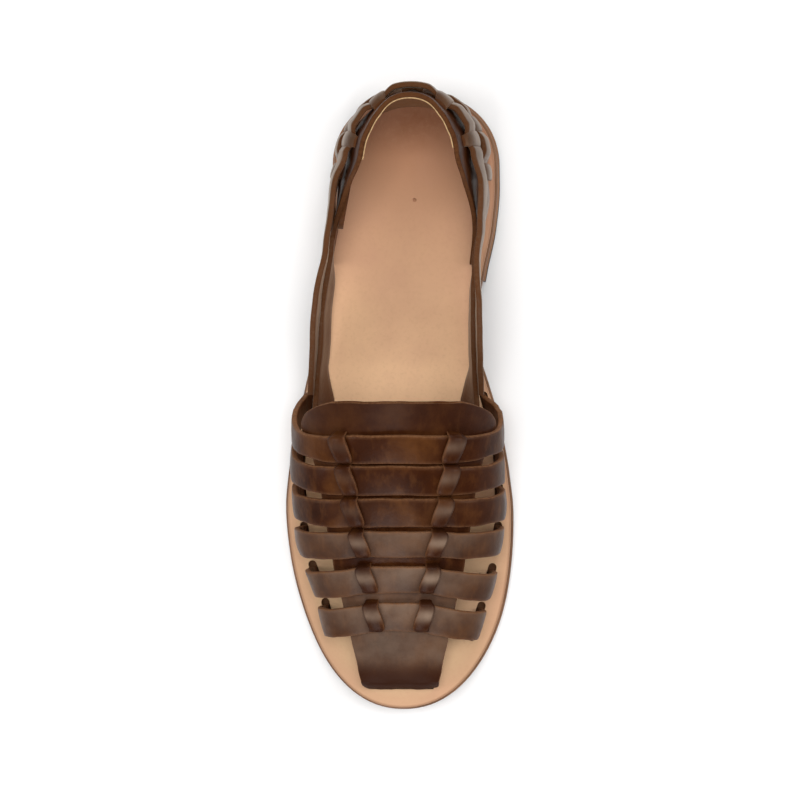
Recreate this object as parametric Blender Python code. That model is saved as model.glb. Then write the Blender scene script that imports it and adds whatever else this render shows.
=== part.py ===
"""Woven leather sandal for the right foot, standing empty on its sole.

Lengths are in metres. +X is the inner side of the foot, -Y points at the toe and +Z is up.
A station is a place along the sole: 0 at the back of the heel, 1 at the tip of the toe.
"""

import math

import bmesh
import bpy
from mathutils import Vector

# Sole
LENGTH = 0.252
BALL_WIDTH = 0.0938
HEEL_ROUND = 0.029
HEEL_FULLNESS = 2.12
TOE_ROUND = 0.085
TOE_FULLNESS = 2.16
OUTSOLE_THICKNESS = 0.0045
FOOTBED_THICKNESS = 0.004
FOOTBED_INSET = 0.001
EDGE_CHAMFER = 0.0006
HEEL_ANGLE_STEP = 10
STRAIGHT_STEPS = 18
TOE_ANGLES = (9, 18, 27, 36, 45, 54, 63, 72, 78, 83, 87)

# Heel
HEEL_HEIGHT = 0.015
HEEL_LENGTH = 0.0766
HEEL_CAP_THICKNESS = 0.005
HEEL_FLARE = 0.0008
WAIST_LENGTH = 0.066
TOE_SPRING = 0.007
TOE_SPRING_START = 0.8

# Upper
STRAP_THICKNESS = 0.0022
STRAP_WIDTH = 0.0126
STRAP_CROWN = 0.0003
TONGUE_THICKNESS = 0.002
BAND_WIDTH = 0.0066
BAND_THICKNESS = 0.002
INSTEP_HEIGHT = 0.052
WIDEST_SHARE = 0.32
TUCK = 0.0015
TUCK_CURVE = 1.5
LEAD_CURVE = 3.2
DROOP = 0.004
SLOT_MARGIN = 0.0046
SLOT_DEPTH = 0.0037
SLOT_CLEARANCE = 0.0007
TAB_HALF_WIDTH = 0.0152
TAB_STATION = 0.960
TAB_BEND_HEIGHT = 0.0025
TAB_BEND_SLOPE = 0.35
LIFT_FADE_START = 0.6
STRAP_STEPS = 6
TONGUE_STEPS = 6
DROP_STEPS = (1.08, 1.2, 1.4, 1.6, 1.78, 2.0)

# Heel counter and side straps
COUNTER_THICKNESS = 0.002
COUNTER_HEIGHT = 0.050
COUNTER_BACK = 0.0056
COUNTER_ROUND = 0.025
COUNTER_BULGE = 0.0014
SIDE_END = 0.497
LOOP_GAP = 0.0015
BRIDGE_WIDTH = 0.0065
BRIDGE_OVERLAP = 0.003
BRIDGE_THICKNESS = 0.0019
BRIDGE_FLAT = 0.7
STRAP_SUNK = 0.001
LOOP_SPREAD = 14
TAIL_WIDTH = 0.0125
TAIL_HEIGHT_SHARE = 0.7
FREE_LENGTH = 0.25
LOWER_END = 2.0
UPPER_END = 1.96
ROUND_STEPS = 14
WALL_STEPS = 8
WALL_FORWARD = (1.08, 1.16, 1.25, 1.34, 1.42)
WALL_SHARES = (0.0, 0.3, 0.6, 0.85, 1.0)
SIDE_FORWARD = (1.05, 1.1, 1.16, 1.23, 1.3, 1.4, 1.5, 1.6, 1.7, 1.8, 1.9)

# Fits
GAP = 0.0003
EMBED = 0.0005

# Steps for measuring slopes, and for finding a place from above
SLOPE_STEP = 0.004
FALL_STEP = 0.01
PLAN_STEP = 0.02
FINDING_ROUNDS = 6
OUTERMOST_SHARE = 0.995

# Sole outline: centre and half width as shares of the ball width
OUTLINE = (
    {"station": 0.00, "centre": 0.066, "half": 0.346},
    {"station": 0.15, "centre": 0.064, "half": 0.356},
    {"station": 0.22, "centre": 0.046, "half": 0.358},
    {"station": 0.29, "centre": 0.010, "half": 0.355},
    {"station": 0.37, "centre": -0.019, "half": 0.352},
    {"station": 0.42, "centre": -0.022, "half": 0.364},
    {"station": 0.47, "centre": -0.019, "half": 0.400},
    {"station": 0.52, "centre": -0.015, "half": 0.435},
    {"station": 0.57, "centre": -0.014, "half": 0.464},
    {"station": 0.62, "centre": -0.014, "half": 0.486},
    {"station": 0.68, "centre": -0.011, "half": 0.500},
    {"station": 0.76, "centre": -0.003, "half": 0.500},
    {"station": 0.88, "centre": 0.009, "half": 0.500},
    {"station": 1.00, "centre": 0.009, "half": 0.500},
)

# Last under the vamp: widest inner reach to each side as shares of the ball width,
# and the height of the crown as a share of the instep height
LAST = (
    {"station": 0.440, "lateral": 0.430, "medial": 0.410, "crown": 1.095},
    {"station": 0.500, "lateral": 0.440, "medial": 0.418, "crown": 1.000},
    {"station": 0.572, "lateral": 0.438, "medial": 0.423, "crown": 0.885},
    {"station": 0.622, "lateral": 0.447, "medial": 0.424, "crown": 0.800},
    {"station": 0.673, "lateral": 0.439, "medial": 0.433, "crown": 0.712},
    {"station": 0.724, "lateral": 0.424, "medial": 0.417, "crown": 0.625},
    {"station": 0.783, "lateral": 0.362, "medial": 0.380, "crown": 0.520},
    {"station": 0.845, "lateral": 0.316, "medial": 0.326, "crown": 0.413},
    {"station": 0.900, "lateral": 0.280, "medial": 0.285, "crown": 0.308},
    {"station": 0.940, "lateral": 0.250, "medial": 0.255, "crown": 0.215},
    {"station": 0.960, "lateral": 0.240, "medial": 0.245, "crown": 0.120},
)

# Vamp straps from the instep to the toe: the station of each one's middle at the crown
# and where it turns down on each side, its width as a share of the strap width, and how
# far its ends sweep along the sole on their way down, in stations
STRAPS = (
    {"station": 0.569, "lateral": 0.534, "medial": 0.543, "width": 0.95, "sweep": -0.036},
    {"station": 0.619, "lateral": 0.586, "medial": 0.604, "width": 0.98, "sweep": -0.010},
    {"station": 0.670, "lateral": 0.654, "medial": 0.663, "width": 0.95, "sweep": -0.004},
    {"station": 0.721, "lateral": 0.722, "medial": 0.721, "width": 0.86, "sweep": 0.0},
    {"station": 0.778, "lateral": 0.789, "medial": 0.794, "width": 0.90, "sweep": 0.0},
    {"station": 0.840, "lateral": 0.853, "medial": 0.858, "width": 0.98, "sweep": 0.0},
)

# Tongue plate under the straps and the bands slit from it, seen from above:
# half width of the plate and the distance of each band from the middle, in ball widths
TONGUE = (
    {"station": 0.4986, "half": 0.275, "band": 0.238},
    {"station": 0.506, "half": 0.340, "band": 0.238},
    {"station": 0.518, "half": 0.385, "band": 0.236},
    {"station": 0.535, "half": 0.402, "band": 0.232},
    {"station": 0.555, "half": 0.385, "band": 0.226},
    {"station": 0.600, "half": 0.345, "band": 0.208},
    {"station": 0.650, "half": 0.316, "band": 0.188},
    {"station": 0.700, "half": 0.300, "band": 0.165},
    {"station": 0.765, "half": 0.272, "band": 0.135},
    {"station": 0.820, "half": 0.241, "band": 0.110},
    {"station": 0.880, "half": 0.204, "band": 0.092},
    {"station": 0.925, "half": 0.180, "band": 0.088},
    {"station": 0.949, "half": 0.168, "band": 0.086},
)

# Inside of the upper at the heel and waist: centre and half width at the footbed in ball
# widths, how far counter and straps lean out at the counter's height in ball widths, the
# share of the bulge, and the heights of the counter's top and of both side straps' middles
# as shares of the counter's height
REAR = (
    {"station": 0.022, "centre": 0.062, "half": 0.288, "lean": -0.006, "strap_lean": -0.006,
     "bulge": 1.0, "top": 1.00, "upper": 0.66, "lower": 0.280},
    {"station": 0.036, "centre": 0.062, "half": 0.288, "lean": -0.055, "strap_lean": -0.050,
     "bulge": 1.0, "top": 1.00, "upper": 0.66, "lower": 0.280},
    {"station": 0.060, "centre": 0.061, "half": 0.288, "lean": -0.085, "strap_lean": -0.082,
     "bulge": 1.0, "top": 1.00, "upper": 0.66, "lower": 0.280},
    {"station": 0.107, "centre": 0.058, "half": 0.288, "lean": -0.097, "strap_lean": -0.094,
     "bulge": 0.9, "top": 1.00, "upper": 0.66, "lower": 0.280},
    {"station": 0.152, "centre": 0.050, "half": 0.299, "lean": -0.081, "strap_lean": -0.058,
     "bulge": 0.7, "top": 0.92, "upper": 0.66, "lower": 0.280},
    {"station": 0.220, "centre": 0.036, "half": 0.295, "lean": -0.032, "strap_lean": -0.035,
     "bulge": 0.3, "top": 0.52, "upper": 0.64, "lower": 0.280},
    {"station": 0.284, "centre": 0.014, "half": 0.288, "lean": 0.000, "strap_lean": -0.010,
     "bulge": 0.0, "top": 0.20, "upper": 0.58, "lower": 0.260},
    {"station": 0.361, "centre": -0.004, "half": 0.287, "lean": 0.040, "strap_lean": 0.035,
     "bulge": 0.0, "top": 0.20, "upper": 0.47, "lower": 0.220},
    {"station": 0.420, "centre": -0.010, "half": 0.290, "lean": 0.040, "strap_lean": 0.050,
     "bulge": 0.0, "top": 0.20, "upper": 0.35, "lower": 0.190},
    {"station": 0.470, "centre": -0.016, "half": 0.300, "lean": 0.040, "strap_lean": 0.060,
     "bulge": 0.0, "top": 0.20, "upper": 0.24, "lower": 0.160},
    {"station": 0.500, "centre": -0.017, "half": 0.307, "lean": 0.040, "strap_lean": 0.060,
     "bulge": 0.0, "top": 0.20, "upper": 0.19, "lower": 0.145},
)

# Bridges of the counter that hold each woven strap down, in degrees round from the back
UPPER_BRIDGES = (-70, -26, 26, 70)
LOWER_BRIDGES = (-97, -56, -14, 14, 56, 97)

# Outline of the strap tail from its root to its round end
TAIL = (
    {"turn": -1.02, "width": 0.95},
    {"turn": -1.10, "width": 1.0},
    {"turn": -1.18, "width": 1.0},
    {"turn": -1.24, "width": 0.8},
    {"turn": -1.27, "width": 0.4},
)

# How far a band runs beside each strap, in halves of the strap's width
BAND_ON_STRAP = 0.75
BAND_BEHIND_STRAP = 1.12
BAND_PAST_ENDS = 1.5
OPEN_STRAPS = 3

NATURAL_TAN = (0.66, 0.42, 0.25)
EDGE_BROWN = (0.20, 0.10, 0.055)
STACK_BROWN = (0.26, 0.15, 0.09)
CAP_BROWN = (0.07, 0.05, 0.04)
STRAP_BROWN = (0.12, 0.055, 0.028)


def column(table, name, station):
    """Smooth value of one column of a table at a station, level past both ends."""
    places = [row["station"] for row in table]
    values = [row[name] for row in table]
    if station <= places[0]:
        return values[0]
    if station >= places[-1]:
        return values[-1]
    index = sum(1 for place in places if place <= station) - 1
    slopes = [(values[i + 1] - values[i]) / (places[i + 1] - places[i]) for i in range(len(places) - 1)]

    def tangent(at):
        """Slope of the curve at one row, flat where the values turn round."""
        if at == 0 or at == len(places) - 1:
            return slopes[min(at, len(slopes) - 1)]
        before, after = slopes[at - 1], slopes[at]
        return 0.0 if before * after <= 0 else 2 * before * after / (before + after)

    span = places[index + 1] - places[index]
    t = (station - places[index]) / span
    return (values[index] * (1 + 2 * t) * (1 - t) ** 2
            + values[index + 1] * t * t * (3 - 2 * t)
            + tangent(index) * span * t * (1 - t) ** 2
            - tangent(index + 1) * span * t * t * (1 - t))


def eased(t):
    """0 to 1 with soft ends."""
    t = min(max(t, 0.0), 1.0)
    return t * t * (3 - 2 * t)


def y_at(station):
    """Place of a station along the sole."""
    return LENGTH * (0.5 - station)


def end_rounding(station):
    """Share of the full width that the round heel and the round toe leave."""
    heel = HEEL_ROUND / LENGTH
    toe = TOE_ROUND / LENGTH
    if station < heel:
        inward = 1 - station / heel
        return max(1 - inward ** HEEL_FULLNESS, 0.0) ** (1 / HEEL_FULLNESS)
    if station > 1 - toe:
        outward = (station - 1 + toe) / toe
        return max(1 - outward ** TOE_FULLNESS, 0.0) ** (1 / TOE_FULLNESS)
    return 1.0


def sole_bottom(station):
    """Height of the underside of the outsole: heel seat, waist, tread and toe spring."""
    breast = HEEL_LENGTH / LENGTH
    drop = eased((station - breast) / (WAIST_LENGTH / LENGTH))
    spring = max(station - TOE_SPRING_START, 0.0) / (1 - TOE_SPRING_START)
    return HEEL_HEIGHT * (1 - drop) + TOE_SPRING * spring ** 2


def footbed_top(station):
    """Height of the surface that the foot stands on."""
    return sole_bottom(station) + OUTSOLE_THICKNESS + GAP + FOOTBED_THICKNESS


def outline_stations(last):
    """Stations round the sole up to the last one, close together at the round ends."""
    heel = HEEL_ROUND / LENGTH
    toe = TOE_ROUND / LENGTH
    back = [heel * (1 - math.cos(math.radians(angle)) ** (2 / HEEL_FULLNESS))
            for angle in range(0, 90, HEEL_ANGLE_STEP)]
    straight = [heel + (1 - toe - heel) * step / STRAIGHT_STEPS for step in range(STRAIGHT_STEPS + 1)]
    tip = [1 - toe + toe * math.sin(math.radians(angle)) for angle in TOE_ANGLES]
    kept = [station for station in back + straight + tip if station < last - 0.0003]
    return kept + [last]


def new_object(name, mesh, colour, roughness):
    """Object with a mesh and a plain material of its own."""
    data = bpy.data.meshes.new(name)
    bmesh.ops.recalc_face_normals(mesh, faces=mesh.faces)
    if mesh.calc_volume(signed=True) < 0:
        bmesh.ops.reverse_faces(mesh, faces=mesh.faces)
    mesh.to_mesh(data)
    mesh.free()
    material = bpy.data.materials.new(name)
    material.use_nodes = True
    shader = material.node_tree.nodes["Principled BSDF"]
    shader.inputs["Base Color"].default_value = (*colour, 1)
    shader.inputs["Roughness"].default_value = roughness
    shader.inputs["Metallic"].default_value = 0
    data.materials.append(material)
    part = bpy.data.objects.new(name, data)
    bpy.context.scene.collection.objects.link(part)
    return part


def sole_layer(name, last, grow, flare, low, high, colour, roughness):
    """Layer of the sole between two heights that follow the stations, with chamfered edges."""
    mesh = bmesh.new()
    rings = []
    for station in outline_stations(last):
        full = BALL_WIDTH * column(OUTLINE, "half", station)
        centre = BALL_WIDTH * column(OUTLINE, "centre", station)
        bottom, top = low(station), high(station)
        stretched = last == 1 or station < HEEL_ROUND / LENGTH
        profile = ((flare - EDGE_CHAMFER, bottom), (flare, bottom + EDGE_CHAMFER),
                   (0.0, top - EDGE_CHAMFER), (-EDGE_CHAMFER, top))
        ring = []
        for side in (1, -1):
            edge = []
            for out, height in profile:
                half = (full + grow + out) * end_rounding(station)
                stretch = 1 + 2 * (grow + out) / LENGTH if stretched else 1
                edge.append((centre + side * half, y_at(station) * stretch, height))
            ring += edge if side == 1 else reversed(edge)
        rings.append(ring)
    ends = {0: rings[0][:len(profile)]}
    if last == 1:
        ends[len(rings) - 1] = rings[-1][:len(profile)]
    grid = []
    for index, ring in enumerate(rings):
        if index in ends:
            half_ring = [mesh.verts.new(place) for place in ends[index]]
            grid.append(half_ring + half_ring[::-1])
        else:
            grid.append([mesh.verts.new(place) for place in ring])
    for near, far in zip(grid, grid[1:]):
        for step in range(len(near)):
            following = (step + 1) % len(near)
            corners = [near[step], near[following], far[following], far[step]]
            distinct = list(dict.fromkeys(corners))
            if len(distinct) > 2:
                mesh.faces.new(distinct)
    if last != 1:
        mesh.faces.new(grid[-1])
    bmesh.ops.triangulate(mesh, faces=mesh.faces)
    return finished(new_object(name, mesh, colour, roughness))


def shell(name, pairs):
    """Closed wall over a grid of pairs of inner and outer points."""
    mesh = bmesh.new()
    inner = [[mesh.verts.new(pair[0]) for pair in row] for row in pairs]
    outer = [[mesh.verts.new(pair[1]) for pair in row] for row in pairs]
    rows, columns = len(pairs), len(pairs[0])
    for row in range(rows - 1):
        for step in range(columns - 1):
            for skin in (inner, outer):
                mesh.faces.new((skin[row][step], skin[row][step + 1],
                                skin[row + 1][step + 1], skin[row + 1][step]))
    border = [(0, step) for step in range(columns - 1)]
    border += [(row, columns - 1) for row in range(rows - 1)]
    border += [(rows - 1, step) for step in range(columns - 1, 0, -1)]
    border += [(row, 0) for row in range(rows - 1, 0, -1)]
    for (row, step), (next_row, next_step) in zip(border, border[1:] + border[:1]):
        mesh.faces.new((inner[row][step], inner[next_row][next_step],
                        outer[next_row][next_step], outer[row][step]))
    bmesh.ops.triangulate(mesh, faces=mesh.faces)
    return new_object(name, mesh, STRAP_BROWN, 0.5)


def wall_pair(surface, along, across, inner, outer):
    """Points at two distances outside a surface."""
    run = surface(along + SLOPE_STEP, across) - surface(along - SLOPE_STEP, across)
    turn = surface(along, across + SLOPE_STEP) - surface(along, across - SLOPE_STEP)
    normal = run.cross(turn).normalized()
    place = surface(along, across)
    return place + normal * inner, place + normal * outer


def changed_by(name, operation, pieces):
    """The first piece with the others added to it or cut from it, as one solid."""
    body = pieces[0]
    for piece in pieces[1:]:
        change = body.modifiers.new(piece.name, "BOOLEAN")
        change.operation = operation
        change.object = piece
    bpy.context.view_layer.update()
    graph = bpy.context.evaluated_depsgraph_get()
    data = bpy.data.meshes.new_from_object(body.evaluated_get(graph))
    data.name = name
    body.modifiers.clear()
    body.data = data
    for piece in pieces[1:]:
        bpy.data.objects.remove(piece)
    body.name = name
    return body


def finished(part, angle=30):
    """Round faces shaded smooth and edges kept sharp."""
    part.data.shade_smooth()
    part.data.set_sharp_from_angle(angle=math.radians(angle))
    return part


def slide(lead, share):
    """How far a strap's line has run along the sole at a share of the widest reach, in stations."""
    rise = math.sqrt(max(1 - share * share, 0.0))
    part = (1 - rise) ** LEAD_CURVE if lead < 0 else share ** 2
    return lead * part + DROOP * (2 * share * rise) ** 2


def vamp_point(station, across, lateral, medial, sweep=0.0):
    """Inner face of the vamp: across is 0 at the crown, 1 at the widest and 2 in the slot."""
    side, name, lead = (-1, "lateral", lateral) if across < 0 else (1, "medial", medial)
    reach = abs(across)
    width = BALL_WIDTH * column(LAST, name, station)
    crown = INSTEP_HEIGHT * column(LAST, "crown", station)
    widest = WIDEST_SHARE * crown
    angle = min(reach, 1.0) * math.pi / 2
    drop = max(reach - 1, 0.0)
    depth = drop * (widest + SLOT_DEPTH)
    place = station + slide(lead, math.sin(angle)) + sweep * drop
    sole_edge = BALL_WIDTH * (side * column(OUTLINE, "centre", place) + column(OUTLINE, "half", place))
    tuck = max(TUCK, width - sole_edge + SLOT_MARGIN) * min(depth / widest, 1.0) ** TUCK_CURVE
    height = footbed_top(place) + widest - depth + (crown - widest) * math.cos(angle)
    return Vector((side * (width * math.sin(angle) - tuck), y_at(place), height))


def lead_at(name, station):
    """How far the straps' lines run ahead of the crown on one side, in stations."""
    return column(STRAPS, name, station) - column(STRAPS, "station", station)


def strap_surface(strap):
    """Vamp surface whose cross lines run like one strap."""
    lateral = strap["lateral"] - strap["station"]
    medial = strap["medial"] - strap["station"]
    return lambda station, across: vamp_point(station, across, lateral, medial, strap["sweep"])


def seen_pair(station, x, inner, outer):
    """Points of the vamp's wall at a station and distance from the middle as seen from above."""
    name = "lateral" if x < 0 else "medial"

    def surface(along, across):
        return vamp_point(along, across, lead_at("lateral", along), lead_at("medial", along))

    along = station
    for _ in range(FINDING_ROUNDS):
        share = min(abs(x) / (BALL_WIDTH * column(LAST, name, along)), OUTERMOST_SHARE)
        along = station - slide(lead_at(name, along), share)
    across = math.copysign(math.asin(share) / (math.pi / 2), x)
    return wall_pair(surface, along, across, inner, outer)


def strap_half_share(strap):
    """Half of a strap's width along the sole, as a share of its length."""
    station = strap["station"]
    before, after = station - FALL_STEP, station + FALL_STEP
    fall = INSTEP_HEIGHT * (column(LAST, "crown", before) - column(LAST, "crown", after))
    run = (after - before) * LENGTH
    return STRAP_WIDTH * strap["width"] / 2 * run / math.hypot(run, fall) / LENGTH


def strap_lift(across):
    """How far a vamp strap's inner face lies outside the last."""
    over_tongue = TONGUE_THICKNESS - EMBED
    return over_tongue * (1 - eased((abs(across) - LIFT_FADE_START) / (1 - LIFT_FADE_START)))


def vamp_strap(strap):
    """One strap across the foot, down into its slots on both sides."""
    half = strap_half_share(strap)
    surface = strap_surface(strap)
    across = [-reach for reach in reversed(DROP_STEPS)]
    across += [step / STRAP_STEPS for step in range(-STRAP_STEPS, STRAP_STEPS + 1)] + list(DROP_STEPS)
    rows = []
    for edge, crown in ((-1, 0.0), (0, STRAP_CROWN), (1, 0.0)):
        station = strap["station"] + edge * half
        row = []
        for place in across:
            lift = strap_lift(place)
            row.append(wall_pair(surface, station, place, lift, lift + STRAP_THICKNESS + crown))
        rows.append(row)
    return shell("strap", rows)


def slot_cutter(strap, side):
    """Straight slot through the footbed round one strap end."""
    half = strap_half_share(strap)
    surface = strap_surface(strap)
    widest = WIDEST_SHARE * INSTEP_HEIGHT * column(LAST, "crown", strap["station"])
    level = 1 + widest / (widest + SLOT_DEPTH)
    entry = max(step for step in DROP_STEPS if step <= level)
    points = []
    for edge in (-1, 0, 1):
        for reach in (entry, DROP_STEPS[-1]):
            points += wall_pair(surface, strap["station"] + edge * half, side * reach,
                                0.0, STRAP_THICKNESS + STRAP_CROWN)
    run = points[-1] - points[3]
    run = Vector((run.x, run.y, 0)).normalized()
    return block("slot", run, points, 2 * FOOTBED_THICKNESS)


def block(name, run, points, tall):
    """Upright block round some points with a running clearance, its length along one direction."""
    mesh = bmesh.new()
    axes = (run, Vector((-run.y, run.x, 0)), Vector((0, 0, 1)))
    spans = []
    for axis in axes:
        places = [point.dot(axis) for point in points]
        spans.append((min(places) - SLOT_CLEARANCE, max(places) + SLOT_CLEARANCE))
    spans[2] = (spans[2][0] - tall, spans[2][1] + tall)
    bmesh.ops.create_cube(mesh, size=1)
    for corner in mesh.verts:
        shares = [0 if value < 0 else 1 for value in corner.co]
        corner.co = sum((axis * span[share] for axis, span, share in zip(axes, spans, shares)), Vector())
    return new_object(name, mesh, STRAP_BROWN, 0.5)


def tab_rows():
    """Toe end of the tongue, bent down through the footbed."""
    rows = []
    for height, slope in ((TAB_BEND_HEIGHT, TAB_BEND_SLOPE), (GAP - SLOT_DEPTH, 0.0)):
        row = []
        for step in range(-TONGUE_STEPS, TONGUE_STEPS + 1):
            x = TAB_HALF_WIDTH * step / TONGUE_STEPS
            place = Vector((x, y_at(TAB_STATION), footbed_top(TAB_STATION) + height))
            out = Vector((0, -1, slope)).normalized()
            row.append((place, place + out * TONGUE_THICKNESS))
        rows.append(row)
    return rows


def tongue_plate():
    """Plate under the straps, from its round end on the instep to its tab at the toe."""
    rows = []
    for section in TONGUE:
        half = BALL_WIDTH * section["half"]
        rows.append([seen_pair(section["station"], half * step / TONGUE_STEPS, 0.0, TONGUE_THICKNESS)
                     for step in range(-TONGUE_STEPS, TONGUE_STEPS + 1)])
    return shell("tongue", rows + tab_rows())


def vamp_band(side):
    """Narrow band slit from the tongue that runs over all six straps on one side."""
    low = (TONGUE_THICKNESS - BAND_THICKNESS + EMBED, TONGUE_THICKNESS + EMBED)
    bottom = TONGUE_THICKNESS - EMBED + STRAP_THICKNESS - EMBED
    high = (bottom, bottom + BAND_THICKNESS)
    first, last = STRAPS[0], STRAPS[-1]
    places = [(first["station"] - BAND_PAST_ENDS * strap_half_share(first), low)]
    for number, strap in enumerate(STRAPS):
        half = strap_half_share(strap)
        places.append((strap["station"] - BAND_ON_STRAP * half, high))
        places.append((strap["station"] + BAND_ON_STRAP * half, high))
        if number >= OPEN_STRAPS:
            places.append((strap["station"] + BAND_BEHIND_STRAP * half, low))
    places.append((last["station"] + BAND_PAST_ENDS * strap_half_share(last), low))
    rows = []
    for station, (inner, outer) in places:
        middle = side * BALL_WIDTH * column(TONGUE, "band", station)
        shape = ((-1, 0.0), (-0.5, STRAP_CROWN), (0.5, STRAP_CROWN), (1, 0.0))
        rows.append([seen_pair(station, middle + edge * BAND_WIDTH / 2, inner, outer + crown)
                     for edge, crown in shape])
    return shell("band", rows)


def rear_plan(turn):
    """Station, side shift and outward direction of the upper's base line.

    The turn is 0 at the back, 1 where the round heel ends and 2 at the end of the side straps.
    """
    side = -1 if turn < 0 else 1
    start = COUNTER_BACK / LENGTH
    round_share = COUNTER_ROUND / LENGTH

    def place(at):
        angle = min(at, 1.0) * math.pi / 2
        power = 2 / HEEL_FULLNESS
        station = start + round_share * (1 - max(math.cos(angle), 0.0) ** power)
        station += max(at - 1, 0.0) * (SIDE_END - start - round_share)
        half = BALL_WIDTH * column(REAR, "half", station) * max(math.sin(angle), 0.0) ** power
        return station, BALL_WIDTH * column(REAR, "centre", station) + side * half

    reach = abs(turn)
    station, x = place(reach)
    before, after = place(max(reach - PLAN_STEP, 0.0)), place(reach + PLAN_STEP)
    run = Vector((after[1] - before[1], -(after[0] - before[0]) * LENGTH, 0)).normalized()
    outward = Vector((-run.y, run.x, 0)) * side
    if reach < 0.001:
        outward = Vector((0, 1, 0))
    return station, x, outward


def rear_point(turn, height, lean_name):
    """Inner face of counter or side strap at a height above the footbed."""
    station, x, outward = rear_plan(turn)
    share = height / COUNTER_HEIGHT
    lean = BALL_WIDTH * column(REAR, lean_name, station) * share
    bulge = COUNTER_BULGE * column(REAR, "bulge", station) * 4 * share * (1 - share)
    base = Vector((x, y_at(station), footbed_top(station) + GAP + height))
    return base + outward * (lean + bulge)


def rear_pair(turn, height, lean_name, inner, outer):
    """Points of a rear wall at two distances outside its inner face."""
    _, _, outward = rear_plan(turn)
    place = rear_point(turn, height, lean_name)
    return place + outward * inner, place + outward * outer


def angle_turn(degrees):
    """Turn round the base line at an angle from the back, past the round end too."""
    if abs(degrees) <= 90:
        return degrees / 90
    straight = SIDE_END * LENGTH - COUNTER_BACK - COUNTER_ROUND
    past = COUNTER_ROUND * math.radians(abs(degrees) - 90)
    return math.copysign(1 + past / straight, degrees)


def counter_wall():
    """Wall round the heel whose top falls away to the waist."""
    turns = [step / WALL_STEPS for step in range(WALL_STEPS + 1)] + list(WALL_FORWARD)
    rows = []
    for turn in [-turn for turn in reversed(turns[1:])] + turns:
        station = rear_plan(turn)[0]
        top = COUNTER_HEIGHT * column(REAR, "top", station)
        rows.append([rear_pair(turn, top * share, "lean", 0.0, COUNTER_THICKNESS)
                     for share in WALL_SHARES])
    return shell("counter", rows)


def loop_lift(turn, bridges):
    """How far a woven strap's inner face lies outside the counter's."""
    spread = angle_turn(LOOP_SPREAD)
    near = min(abs(turn - angle_turn(bridge)) for bridge in bridges)
    out = COUNTER_THICKNESS + LOOP_GAP - STRAP_SUNK
    return STRAP_SUNK + out * eased(near / spread)


def side_strap(name, bridges, layer, end):
    """Strap woven round the heel whose ends run forward to the vamp on both sides."""
    last_bridge = angle_turn(max(bridges))
    turns = [step / ROUND_STEPS for step in range(ROUND_STEPS + 1)] + list(SIDE_FORWARD) + [end]
    rows = []
    for turn in [-turn for turn in reversed(turns[1:])] + turns:
        station = rear_plan(turn)[0]
        middle = COUNTER_HEIGHT * column(REAR, name, station)
        woven = loop_lift(turn, bridges)
        free = eased((abs(turn) - last_bridge) / FREE_LENGTH)
        lift = woven * (1 - free) + layer * free
        half = STRAP_WIDTH / 2
        low = max(middle - half, 0.0)
        rows.append([rear_pair(turn, height, "strap_lean", lift, lift + STRAP_THICKNESS + crown)
                     for height, crown in ((low, 0.0), (middle, STRAP_CROWN), (middle + half, 0.0))])
    return shell(name, rows)


def bridge(name, degrees):
    """Piece of the counter between two slits that holds a strap down."""
    half_angle = math.degrees(BRIDGE_WIDTH / 2 / COUNTER_ROUND)
    station = rear_plan(angle_turn(degrees))[0]
    middle = COUNTER_HEIGHT * column(REAR, name, station)
    reach = STRAP_WIDTH / 2 + BRIDGE_OVERLAP
    over = STRAP_SUNK + STRAP_THICKNESS - EMBED / 2
    heights = ((-1.0, EMBED), (-BRIDGE_FLAT, over), (0.0, over + STRAP_CROWN), (BRIDGE_FLAT, over),
               (1.0, EMBED))
    rows = []
    for edge in (-1, 0, 1):
        turn = angle_turn(degrees + edge * half_angle)
        rows.append([rear_pair(turn, middle + share * reach, "strap_lean", inner, inner + BRIDGE_THICKNESS)
                     for share, inner in heights])
    return shell("bridge", rows)


def strap_tail():
    """Round tail of the upper strap, laid inside the counter on the outer side."""
    rows = []
    for section in TAIL:
        turn = section["turn"]
        half = TAIL_WIDTH / 2 * section["width"]
        middle = TAIL_HEIGHT_SHARE * COUNTER_HEIGHT * column(REAR, "upper", rear_plan(turn)[0])
        rows.append([rear_pair(turn, middle + edge * half, "lean", EMBED - STRAP_THICKNESS, EMBED)
                     for edge in (-1, 0, 1)])
    return shell("tail", rows)


def build_sole():
    """Heel cap, heel stack, outsole and footbed with its slots."""
    breast = HEEL_LENGTH / LENGTH
    cap_top = HEEL_CAP_THICKNESS
    sole_layer("heel_cap", breast, HEEL_FLARE, 0.0, lambda station: 0.0,
               lambda station: cap_top, CAP_BROWN, 0.7)
    sole_layer("heel_stack", breast, 0.0, HEEL_FLARE, lambda station: cap_top + GAP,
               lambda station: HEEL_HEIGHT - GAP, STACK_BROWN, 0.5)
    sole_layer("outsole", 1, 0.0, 0.0, sole_bottom,
               lambda station: sole_bottom(station) + OUTSOLE_THICKNESS, EDGE_BROWN, 0.45)
    footbed = sole_layer("footbed", 1, -FOOTBED_INSET, 0.0,
                         lambda station: footbed_top(station) - FOOTBED_THICKNESS,
                         footbed_top, NATURAL_TAN, 0.55)
    cutters = [slot_cutter(strap, side) for strap in STRAPS for side in (-1, 1)]
    tab_end = [point for pair in tab_rows()[-1] for point in pair]
    cutters.append(block("tab_slot", Vector((1, 0, 0)), tab_end, 2 * FOOTBED_THICKNESS))
    finished(changed_by("footbed", "DIFFERENCE", [footbed] + cutters))


def build_vamp():
    """Tongue, bands and straps joined where they cross."""
    pieces = [tongue_plate()] + [vamp_strap(strap) for strap in STRAPS]
    pieces += [vamp_band(side) for side in (-1, 1)]
    finished(changed_by("vamp", "UNION", pieces))


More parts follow.
